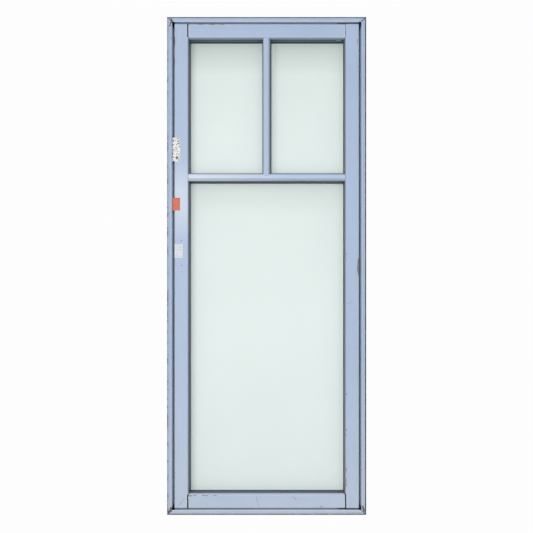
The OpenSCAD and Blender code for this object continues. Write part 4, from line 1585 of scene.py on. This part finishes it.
@dataclass
class OuterFrame:
    """The fixed frame: head, sill and two jambs, mitred at the corners.

    Attributes:
        half_width: Half its width.
        top: Its height.
        front: The depth of its face.
        back: The depth of its room side.
        strip: The width of the face that shows.
        stop: The width of the stop on the room side.
        nick: The radius of the largest nick in its arrises.
        gap_shares: How much of the paler first coat and painted light shows in the gap, for each run of the
            timber, for each run of the timber.
        timbers: Its timbers, and which way each runs.
        marks: The knocks in its face.
    """

    half_width: float = CAD_BOX[1][0]
    top: float = CAD_BOX[1][2]
    front: float = CAD_BOX[0][1]
    back: float = CAD_BOX[1][1]
    strip: float = 15.0 * MM
    stop: float = 34.0 * MM
    nick: float = 1.5 * MM
    gap_shares: dict[Run, float] = field(default_factory=lambda: {Run.UPRIGHT: 1.0, Run.LEVEL: 0.55})
    timbers: dict[str, Run] = field(default_factory=lambda: {
        "head": Run.LEVEL, "sill": Run.LEVEL, "left_jamb": Run.UPRIGHT, "right_jamb": Run.UPRIGHT})
    marks: tuple[Mark, ...] = (
        Mark(("head", "left_jamb"), ((170.9, 19.0), (171.7, 20.2), (172.4, 21.4)), 0.85, 1.6 * MM),
        Mark(("left_jamb",), ((170.9, 22.4), (169.9, 24.2), (169.4, 26.0)), 0.85, 1.4 * MM),
        Mark(("left_jamb",), ((170.8, 37.0), (170.8, 39.0)), 0.4, 0.8 * MM),
        Mark(("head", "right_jamb"), ((365.0, 17.9), (361.6, 21.4)), 0.45, 1.4 * MM, dirty=True),
        Mark(("sill", "left_jamb"), ((168.4, 512.4), (170.2, 510.4), (171.6, 508.6)), 1.55, 1.6 * MM),
        Mark(("sill", "right_jamb"), ((362.6, 506.4), (363.4, 508.6), (364.2, 511.6)), 1.2, 1.5 * MM),
        Mark(("right_jamb",), ((361.4, 469.6), (361.4, 470.6)), 0.5),
        Mark(("head", "left_jamb"), ((172.0, 22.2), (172.6, 22.8)), 0.5, 5.0 * MM),
        Mark(("head", "right_jamb"), ((360.4, 22.2), (360.7, 22.5)), 0.4, 5.0 * MM),
        Mark(("sill", "left_jamb"), ((172.2, 508.9), (172.6, 509.4)), 0.5, 5.0 * MM),
        Mark(("sill", "right_jamb"), ((360.2, 509.0), (360.8, 509.5)), 0.5, 5.0 * MM),
        Mark(("sill",), ((222.2, 512.7), (226.8, 512.6)), 0.45, 0.8 * MM),
        Mark(("sill",), ((200.5, 514.9), (218.6, 514.9)), 0.6, 1.3 * MM),
        Mark(("sill",), ((254.3, 514.9), (256.8, 514.9)), 0.6, 1.3 * MM),
        Mark(("sill",), ((286.4, 514.9), (290.8, 514.9)), 0.6, 1.3 * MM),
        Mark(("sill",), ((319.5, 514.9), (339.6, 514.9)), 0.6, 1.3 * MM),
    )

    def rims(self) -> tuple[Rim, ...]:
        """Lists the frame's arrises.

        Returns:
            Outer and inner in front, outer and inner on the room side.
        """
        outer, opening, room = self.half_width, self.half_width - self.strip, self.half_width - self.stop
        return (Rim(outer, 0.0, self.top, self.front, 0.14, 3.5 * MM, arris_highlight=0.0),
                Rim(opening, self.strip, self.top - self.strip, self.front, 0.26, 2.5 * MM, arris_highlight=0.30,
                    side_shade=0.14),
                Rim(outer, 0.0, self.top, self.back, 0.26, 3.0 * MM),
                Rim(room, self.stop, self.top - self.stop, self.back, 0.28, 2.5 * MM))

    def build(self) -> None:
        """Carves and paints the four timbers."""
        rims = self.rims()
        paints = {run: PaintFinish(
            f"frame_paint_{run.name.lower()}", run, rims, rims[0], rims[1], hole=rims[1], left_highlight=0.0,
            patch_chalk=0.0, gap_share=self.gap_shares[run]).make() for run in Run}
        Joinery(Body.FRAME, self.front, seed=11, nick=self.nick, level_nicks=22, upright_nicks=40,
                timbers=self.timbers, marks=self.marks).carve(paints)


@dataclass
class Sash:
    """The opening sash: two stiles, two rails, the T of glazing bars, and the labels on the lock stile.

    Attributes:
        half_width: Half its width.
        low: Its foot.
        high: Its top.
        face: The depth of its face.
        width: The width of its stiles and rails.
        nick: The radius of the largest nick in its arrises.
        lights: The names of its three lights.
        label_thick: The thickness of a label.
        label_limit: How far left a label reaches.
        label_ragged: How deep a label's edge is frayed.
        label_steps: How many places along a label's side are frayed.
        label_spots: Spots on the upper label: pixels across, down, and a radius in pixels.
        timbers: Its timbers, and which way each runs.
        marks: The knocks in its face.
        foot: The seam round the mullion's foot.
    """

    half_width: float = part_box("hinge_stile")[1].x
    low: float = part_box("hinge_stile")[0].z
    high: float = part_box("hinge_stile")[1].z
    face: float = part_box("hinge_stile")[0].y
    width: float = 40.0 * MM
    nick: float = 1.3 * MM
    lights: tuple[str, ...] = LIGHTS
    label_thick: float = 0.16 * MM
    label_limit: float = -284.6 * MM
    label_ragged: float = 0.35 * MM
    label_steps: int = 14
    label_spots: tuple[Place, ...] = (
        (176.9, 157.7, 1.75), (173.6, 157.2, 0.8), (173.6, 149.6, 0.7), (173.5, 140.6, 0.9),
        (173.5, 144.6, 0.8), (177.6, 138.6, 0.8), (178.2, 141.2, 0.9), (178.5, 143.6, 0.8),
        (179.6, 146.8, 0.8), (176.4, 147.8, 0.5))
    timbers: dict[str, Run] = field(default_factory=lambda: {
        "lock_stile": Run.UPRIGHT, "hinge_stile": Run.UPRIGHT,
        "top_rail": Run.LEVEL, "bottom_rail": Run.LEVEL})
    marks: tuple[Mark, ...] = (
        Mark(("lock_stile",), ((181.5, 240.5), (181.6, 265.5)), 0.64, 1.2 * MM, Knock.NAIL),
        Mark(("lock_stile",), ((182.0, 271.7),), 0.35, 0.6 * MM, Knock.NAIL),
        Mark(("lock_stile",), ((174.3, 30.2), (174.3, 31.0)), 0.6),
        Mark(("lock_stile",), ((174.4, 37.5), (174.5, 45.5)), 0.7),
        Mark(("lock_stile",), ((174.4, 58.5), (174.4, 67.5)), 0.6),
        Mark(("lock_stile",), ((174.6, 472.0), (174.6, 472.6)), 0.5),
        Mark(("lock_stile",), ((174.6, 477.2), (174.6, 478.0)), 0.5),
        Mark(("lock_stile",), ((174.7, 486.8), (174.7, 487.4)), 0.5),
        Mark(("lock_stile",), ((174.7, 497.8), (174.7, 498.6)), 0.5),
        Mark(("lock_stile",), ((178.3, 506.4), (181.4, 502.0), (185.0, 497.5)), 0.28, 0.7 * MM, Knock.SCORE),
        Mark(("hinge_stile",), ((358.7, 258.8), (357.9, 264.0), (357.9, 270.0), (358.8, 275.0)), 0.7),
        Mark(("hinge_stile",), ((347.2, 304.1), (350.0, 302.4), (352.9, 301.2)), 0.25, 0.6 * MM, Knock.SCORE),
        Mark(("hinge_stile",), ((357.6, 39.4), (357.6, 43.6)), 0.4, 0.7 * MM),
        Mark(("hinge_stile",), ((349.6, 387.0),), 0.35, 0.7 * MM, Knock.NAIL),
        Mark(("hinge_stile",), ((346.6, 253.8), (346.6, 254.4)), 0.4, 0.8 * MM),
        Mark(("hinge_stile",), ((346.6, 258.8), (346.6, 259.4)), 0.4, 0.8 * MM),
        Mark(("hinge_stile",), ((346.6, 393.8), (346.6, 394.6)), 0.4, 0.8 * MM),
        Mark(("hinge_stile",), ((346.5, 429.8), (346.5, 430.6)), 0.45, 0.8 * MM),
        Mark(("hinge_stile",), ((346.5, 434.8), (346.5, 435.6)), 0.45, 0.8 * MM),
        Mark(("hinge_stile",), ((346.2, 468.0), (346.3, 472.0)), 0.4, 0.8 * MM),
        Mark(("hinge_stile",), ((346.2, 478.0), (346.2, 486.0)), 0.35, 0.8 * MM),
        Mark(("top_rail",), ((198.0, 24.5), (203.0, 24.5)), 0.5, 1.0 * MM),
        Mark(("top_rail",), ((209.0, 24.5), (214.0, 24.5)), 0.5, 1.0 * MM),
        Mark(("top_rail",), ((220.0, 24.5), (224.0, 24.5)), 0.45, 1.0 * MM),
        Mark(("bottom_rail",), ((189.2, 495.8), (191.4, 495.8)), 0.5, 1.0 * MM),
        Mark(("bottom_rail",), ((193.6, 495.6), (195.8, 495.6)), 0.45, 1.0 * MM),
        Mark(("bottom_rail",), ((202.8, 495.6), (207.8, 495.6)), 0.45, 1.0 * MM),
        Mark(("bottom_rail",), ((213.5, 495.6), (216.4, 495.6)), 0.4, 0.9 * MM),
        Mark(("bottom_rail",), ((256.3, 495.6), (257.2, 500.5), (259.0, 506.8)), 0.26, 0.9 * MM, Knock.SCORE),
        Mark(("bottom_rail",), ((292.0, 495.6), (294.6, 498.4), (297.8, 500.5)), 0.26, 0.9 * MM, Knock.SCORE),
        Mark(("bottom_rail",), ((321.2, 506.8), (321.8, 506.9)), 0.5, 1.0 * MM),
        Mark(("lock_stile", "top_rail"), ((187.6, 24.4), (187.6, 28.8)), 0.42, 2.5 * MM, dirty=True),
        Mark(("lock_stile", "top_rail"), ((187.8, 31.2), (187.9, 32.8)), 0.5, 2.0 * MM, dirty=True),
        Mark(("hinge_stile", "top_rail"), ((345.8, 31.8), (345.8, 33.8)), 0.55, 2.0 * MM, dirty=True),
        Mark(("lock_stile", "bottom_rail"), ((187.8, 495.5), (187.7, 507.2)), 0.42, 2.2 * MM, dirty=True),
        Mark(("lock_stile", "bottom_rail"), ((187.8, 503.2), (187.8, 504.8)), 0.65, 2.2 * MM, dirty=True),
        Mark(("lock_stile", "bottom_rail"), ((188.0, 494.8), (190.0, 492.4)), 0.8, 6.0 * MM, dirty=True),
        Mark(("hinge_stile", "bottom_rail"), ((345.7, 495.5), (345.7, 507.2)), 0.42, 2.2 * MM, dirty=True),
        Mark(("hinge_stile", "bottom_rail"), ((345.7, 503.2), (345.7, 505.8)), 0.65, 2.2 * MM, dirty=True),
        Mark(("hinge_stile", "bottom_rail"), ((345.7, 494.8), (343.8, 492.4)), 0.7, 6.0 * MM, dirty=True),
    )
    foot: Mark = Mark(
        ("transom_bar",), ((263.0, 173.9), (263.6, 174.9), (265.0, 175.5), (266.6, 175.7), (268.1, 175.5),
                           (269.3, 174.9), (269.8, 173.9)), 0.20, 0.6 * MM, Knock.SCORE)

    def rims(self) -> tuple[Rim, ...]:
        """Finds the sash's front arrises.

        Returns:
            The outer one, and the one round the glazing bevel.
        """
        return (Rim(self.half_width, self.low, self.high, self.face, 0.30, 3.0 * MM, arris_highlight=0.40, side_shade=0.14),
                Rim(self.half_width - self.width, self.low + self.width, self.high - self.width, self.face,
                    0.22, 2.0 * MM))

    def build(self) -> None:
        """Carves and paints the timbers, paints the bars and sticks the labels on."""
        edge, inner = self.rims()
        paints = {run: PaintFinish(
            f"sash_paint_{run.name.lower()}", run, (edge, inner), None, edge, inner, joint=inner, hole=edge,
            gap_share=0.4, gap_floor=1.2 * MM, gap_end=61.0 * MM).make() for run in Run}
        Joinery(Body.SASH, self.face, seed=41, nick=self.nick, level_nicks=16, upright_nicks=36,
                timbers=self.timbers, marks=self.marks).carve(paints)
        # The transom's paint is lighter than the rest and much paler towards its left end: painted light on
        # the bar
        bar = PaintFinish("transom_paint", Run.LEVEL, (), left_highlight=0.50, patch_chalk=0.0, bar=True,
                          colour=(0.412, 0.518, 0.690))
        carver = Carver(seed=71, plane=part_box("transom_bar")[0].y)
        carver.cut(self.foot)
        place_piece(carver.carve("transom_bar", bar.make()), Body.SASH, Slot.PAINT, "transom_bar")
        mullion = PaintFinish("mullion_paint", Run.UPRIGHT, (), left_highlight=0.05, patch_chalk=0.0, bar=True)
        dress("mullion_bar", mullion.make())
        beads = PaintFinish("bead_paint", Run.LEVEL, (), patch_chalk=0.0).make()
        for light in self.lights:
            dress(light + "_beads", beads)
        self.labels()

    def labels(self) -> None:
        """Sticks three blank worn labels on the lock stile."""
        spotted = PaperFinish("spotted_paper", (0.80, 0.80, 0.80), (0.62, 0.60, 0.58), spotted=0.30,
                              spots=self.label_spots, plane=self.face)
        red = PaperFinish("red_paper", (0.60, 0.165, 0.105), (0.66, 0.115, 0.055), spotted=0.02)
        white = PaperFinish("white_paper", (0.70, 0.71, 0.74), (0.60, 0.65, 0.73), (0.30, 0.36, 0.45), 0.10)
        self._label("spotted_label", (171.8, 137.5), (180.2, 161.5), spotted, 3)
        self._label("red_label", (171.9, 197.7), (180.1, 210.6), red, 5)
        self._label("white_label", (174.5, 244.0), (182.8, 258.0), white, 7)

    def _label(self, name: str, first: Point, last: Point, finish: PaperFinish, seed: int) -> None:
        """Makes one label.

        Args:
            name: The piece's name.
            first: Its upper left corner in the picture.
            last: Its lower right corner in the picture.
            finish: Its paper.
            seed: The seed of its ragged outline.
        """
        draw = random.Random(seed)
        a, b = PHOTO.at(*first, self.face), PHOTO.at(*last, self.face)
        left, right, high, low = max(a.x, self.label_limit), b.x, a.z, b.z
        ring: list[Vector] = []
        corners = [(left, high), (right, high), (right, low), (left, low)]
        for (x0, z0), (x1, z1) in zip(corners, corners[1:] + corners[:1]):
            for i in range(self.label_steps):
                t = i / self.label_steps
                inset = draw.uniform(0.0, self.label_ragged)
                x, z = x0 + (x1 - x0) * t, z0 + (z1 - z0) * t
                x += math.copysign(inset, (left + right) / 2 - x)
                z += math.copysign(inset, (low + high) / 2 - z)
                ring.append(Vector((x, self.face, z)))
        paper = bmesh.new()
        back = [paper.verts.new(p) for p in ring]
        front = [paper.verts.new(p + Vector((0, -self.label_thick, 0))) for p in ring]
        paper.faces.new(back)
        paper.faces.new(front[::-1])
        for i in range(len(ring)):
            j = (i + 1) % len(ring)
            paper.faces.new((back[i], front[i], front[j], back[j]))
        bmesh.ops.recalc_face_normals(paper, faces=paper.faces)
        place_piece(link_mesh(name, paper, finish.make()), Body.SASH, Slot.PAINT)


@dataclass
class Glazing:
    """The three sealed units with their gaskets and spacers, and the pins of the beads.

    Attributes:
        lights: The names of the lights.
        cover: How far a pane reaches behind the sash.
        pin_inset: How far the pins stand from a bead's edge.
        pin_radius: The radius of a pin's head.
        pin_step: The distance between pins.
    """

    lights: tuple[str, ...] = LIGHTS
    cover: float = 5.5 * MM
    pin_inset: float = 4.5 * MM
    pin_radius: float = 1.5 * MM
    pin_step: float = 118.0 * MM

    def build(self) -> None:
        """Dresses the panes, spacers and gaskets."""
        clear = ClearGlass().make()
        alloy = MouldedFinish("spacer_alloy", (0.74, 0.81, 0.82), (0.60, 0.64, 0.63), 0.5, 0.5).make()
        rubber = MouldedFinish("gasket_rubber", (0.024, 0.044, 0.056), (0.060, 0.085, 0.100), 0.55).make()
        block = MouldedFinish("block_nylon", (0.10, 0.10, 0.10), (0.2, 0.2, 0.2)).make()
        for name in self.lights:
            lo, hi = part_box(name + "_outer_pane")
            half = (hi.x - lo.x) / 2 - self.cover
            light = Rim(half, lo.z + self.cover, hi.z - self.cover, lo.y, 0.0, 0.0, (lo.x + hi.x) / 2)
            finish = FrostedGlass(name + "_frosted", light)
            if name != "lower":
                # The upper panes get stronger painted shade at the top and darker lines along the top and
                # foot
                finish = replace(finish, top_shade=0.50, top_seal=0.9, foot_seal=1.0, foot_reach=6.0 * MM)
            if name == "upper_left":
                finish = replace(finish, right_seal=0.6)
            elif name == "upper_right":
                # Stronger painted light along the left side of the upper right pane, beside the mullion
                finish = replace(finish, edge_light_reach=14.0 * MM, edge_light_share=0.6, edge_light=(0.82, 1.0, 1.0))
            dress(name + "_outer_pane", finish.make())
            dress(name + "_inner_pane", clear)
            dress(name + "_spacer", alloy)
            dress(name + "_front_gasket", rubber)
            dress(name + "_back_gasket", rubber)
        dress("weather_seal", rubber)
        dress("setting_blocks", block)
        self.pins()

    def pins(self) -> None:
        """Drives a row of small brass pins into the beads on the room side."""
        line = bmesh.new()
        for name in self.lights:
            lo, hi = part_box(name + "_beads")
            i = self.pin_inset
            corners = ((lo.x + i, lo.z + i), (hi.x - i, lo.z + i), (hi.x - i, hi.z - i), (lo.x + i, hi.z - i))
            ring = [line.verts.new((x, hi.y, z)) for x, z in corners]
            for a, b in zip(ring, ring[1:] + ring[:1]):
                line.edges.new((a, b))
        pins = link_mesh("bead_pins", line)
        tree = PinTree().make(AGED_BRASS)
        run_tree(pins, tree, {"Spacing": self.pin_step, "Radius": self.pin_radius})
        place_piece(pins, Body.SASH, Slot.BRASS)


@dataclass
class Ironmongery:
    """The pivots, strike plates, screws and the cremone bolt with its handle.

    Attributes:
        brass_nodes: The CAD nodes in brass.
        steel_nodes: The CAD nodes in steel.
        steel_screws: The steel screws, and what they move with.
        brass_screws: The brass screws, and what they move with.
    """

    brass_nodes: tuple[str, ...] = ("gear_base_plate", "gear_cover", "handle_lever", "bolt_guides")
    steel_nodes: tuple[str, ...] = (
        "lower_pivot_pin", "upper_pivot_pin", "upper_strike_plate", "lower_strike_plate",
        "lower_pivot_socket", "upper_pivot_socket", "handle_spindle", "pinion", "upper_bolt", "lower_bolt")
    steel_screws: tuple[tuple[str, Body], ...] = (
        ("corner_screws", Body.FRAME), ("pivot_pin_screws", Body.FRAME), ("strike_screws", Body.FRAME),
        ("pivot_socket_screws", Body.SASH))
    brass_screws: tuple[tuple[str, Body], ...] = (
        ("gear_cover_screws", Body.SASH), ("guide_screws", Body.SASH))

    # How a screw's head and shank are told apart, as shares of its widest radius
    HEAD_SHARE = 0.99
    SHANK_SHARES = (0.2, 0.9)
    DIGITS = 5

    def build(self) -> None:
        """Dresses the metal pieces and the nylon washers, and makes the screws."""
        nylon = MouldedFinish("washer_nylon", (0.045, 0.040, 0.036), (0.10, 0.09, 0.08), 0.45, 0.4).make()
        for node in self.brass_nodes:
            dress(node, AGED_BRASS)
        for node in self.steel_nodes:
            dress(node, ZINC_STEEL)
        dress("pivot_washers", nylon)
        groups = ((self.steel_screws, ZINC_STEEL, Slot.STEEL), (self.brass_screws, AGED_BRASS, Slot.BRASS))
        for screws, material, slot in groups:
            tree = ScrewTree().make(material)
            for node, body in screws:
                self._screws(node, body, tree, slot)

    def _screws(self, node: str, body: Body, tree: Tree, slot: Slot) -> None:
        """Makes slotted screws where a CAD node has its plain ones.

        Args:
            node: The CAD node.
            body: What they move with.
            tree: The tree that makes them.
            slot: The record's slot of their finish.
        """
        solids = bmesh.new()
        solids.from_mesh(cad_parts[node].data)
        bmesh.ops.remove_doubles(solids, verts=solids.verts, dist=TOUCHING)
        spots = [self._measure(island) for island in islands(solids)]
        solids.free()
        points = bmesh.new()
        outward = points.verts.layers.float_vector.new("outward")
        for top, axis, *_ in spots:
            points.verts.new(top)[outward] = axis
        piece = link_mesh("slotted_" + node, points)
        _, _, head, shank, length = spots[0]
        run_tree(piece, tree, {"Head Radius": head, "Shank Radius": shank, "Length": length})
        place_piece(piece, body, slot, node)

    @classmethod
    def _measure(cls, island: list[Vector]) -> tuple[Vector, Vector, float, float, float]:
        """Finds how a screw lies.

        Args:
            island: The places of its vertices.

        Returns:
            The middle of its head, the way the head faces, and its head radius, shank radius and length.
        """
        lo = Vector([min(v[i] for v in island) for i in range(3)])
        hi = Vector([max(v[i] for v in island) for i in range(3)])
        size = hi - lo
        way = max(range(3), key=lambda i: size[i])
        middle = (lo + hi) / 2
        flat = Vector([0.0 if i == way else 1.0 for i in range(3)])
        radii = [((v - middle) * flat).length for v in island]
        wide = max(radii)
        head = next(v for v, r in zip(island, radii) if r > cls.HEAD_SHARE * wide)
        axis = Vector([math.copysign(1.0, head[i] - middle[i]) if i == way else 0.0 for i in range(3)])
        slim, thick = (share * wide for share in cls.SHANK_SHARES)
        narrow = statistics.mode(round(r, cls.DIGITS) for r in radii if slim < r < thick)
        return middle + axis * (size[way] / 2), axis, wide, narrow, size[way]


def islands(mesh: LooseMesh) -> list[list[Vector]]:
    """Splits a mesh into its separate solids.

    Args:
        mesh: The merged mesh.

    Returns:
        The vertex places of each solid, in the order of their first vertices.
    """
    left = set(mesh.verts)
    found = []
    for first in mesh.verts:
        if first not in left:
            continue
        left.remove(first)
        queue = [first]
        island = []
        while queue:
            vert = queue.pop()
            island.append(vert.co.copy())
            for edge in vert.link_edges:
                other = edge.other_vert(vert)
                if other in left:
                    left.remove(other)
                    queue.append(other)
        found.append(island)
    return found


@dataclass
class Studio:
    """A plain pale floor, white surroundings, one large soft light in front and a weaker one behind.

    Attributes:
        floor_half: Half the floor's width.
        floor_gap: How far it lies under the sill.
        white: How bright the surroundings look.
        through: How bright they look through glass.
        surround: How much light they give.
        key_place: Where the front light hangs.
        key_target: What both lights are aimed at.
        key_size: The length of the front light's sides.
        key_watts: Its power.
        back_place: Where the back light hangs.
        back_size: The length of its sides.
        back_watts: Its power.
        floor_grey: How pale the floor is.
        floor_rough: How rough it is.
    """

    floor_half: float = 12.0
    floor_gap: float = 0.2 * MM
    white: float = 0.985
    through: float = 1.10
    surround: float = 0.50
    key_place: Place = (-0.7, -5.6, 1.3)
    key_target: Place = (0.0, 0.0, 0.6)
    key_size: float = 2.2
    key_watts: float = 166.0
    back_place: Place = (2.6, 5.0, 2.8)
    back_size: float = 3.0
    back_watts: float = 120.0
    floor_grey: float = 0.75
    floor_rough: float = 0.9

    def build(self) -> None:
        """Makes the camera, the surroundings, the light and the floor."""
        PHOTO.camera()
        scene = bpy.context.scene
        scene.view_settings.view_transform = "Standard"
        world = bpy.data.worlds.new("white_surround")
        scene.world = world
        world.use_nodes = True
        graph = Graph(world.node_tree)
        direct, through = self._seen(graph)
        background = next(n for n in graph.tree.nodes if n.type == "BACKGROUND")
        background.inputs["Color"].default_value = rgba((1.0, 1.0, 1.0))
        strength = graph.math("MULTIPLY_ADD", direct, self.white - self.surround)
        strength.node.inputs[2].default_value = self.surround
        strength = graph.plus(strength, graph.times(through, self.through - self.surround))
        graph.feed(background.inputs["Strength"], strength)
        self._light("soft_key", self.key_place, self.key_size, self.key_watts)
        self._light("back_light", self.back_place, self.back_size, self.back_watts)
        self._floor()

    def _light(self, name: str, place: Place, size: float, watts: float) -> None:
        """Hangs one soft square light, aimed at the window.

        Args:
            name: The light's name.
            place: Where it hangs.
            size: The length of its sides.
            watts: Its power.
        """
        data = bpy.data.lights.new(name, "AREA")
        data.size = size
        data.energy = watts
        lamp = bpy.data.objects.new(name, data)
        lamp.location = place
        lamp.rotation_euler = (Vector(self.key_target) - Vector(place)).to_track_quat("-Z", "Y").to_euler()
        bpy.context.scene.collection.objects.link(lamp)

    @staticmethod
    def _seen(graph: Graph) -> tuple[Socket, Socket]:
        """Masks of what is seen directly and what is seen through glass."""
        path = graph.add("ShaderNodeLightPath").outputs
        return path["Is Camera Ray"], path["Is Transmission Ray"]

    def _floor(self) -> None:
        """Lays the pale floor just under the sill."""
        ground = bmesh.new()
        h, z = self.floor_half, -self.floor_gap
        ground.faces.new([ground.verts.new((x, y, z)) for x, y in ((-h, -h), (h, -h), (h, h), (-h, h))])
        graph, shader, _ = new_material("pale_floor")
        output = next(n for n in graph.tree.nodes if n.type == "OUTPUT_MATERIAL")
        shader.inputs["Base Color"].default_value = rgba((self.floor_grey,) * 3)
        shader.inputs["Roughness"].default_value = self.floor_rough
        direct, through = self._seen(graph)
        strength = graph.remap(through, 0.0, 1.0, self.white, self.through)
        glow = graph.add("ShaderNodeEmission", {"Strength": strength})
        shown = graph.most(direct, through)
        mixed = graph.add("ShaderNodeMixShader", {0: shown, 1: shader.outputs[0], 2: glow.outputs[0]})
        graph.feed(output.inputs[0], mixed.outputs[0])
        link_mesh("pale_floor", ground, owner(graph))


def main() -> None:
    """Builds each part of the window in order, then the studio."""
    logging.basicConfig(level=logging.INFO, format="%(name)s: %(message)s")
    for part in (OuterFrame(), Sash(), Glazing(), Ironmongery(), Studio()):
        LOG.info("building %s", type(part).__name__)
        part.build()


if __name__ == "__main__":
    main()
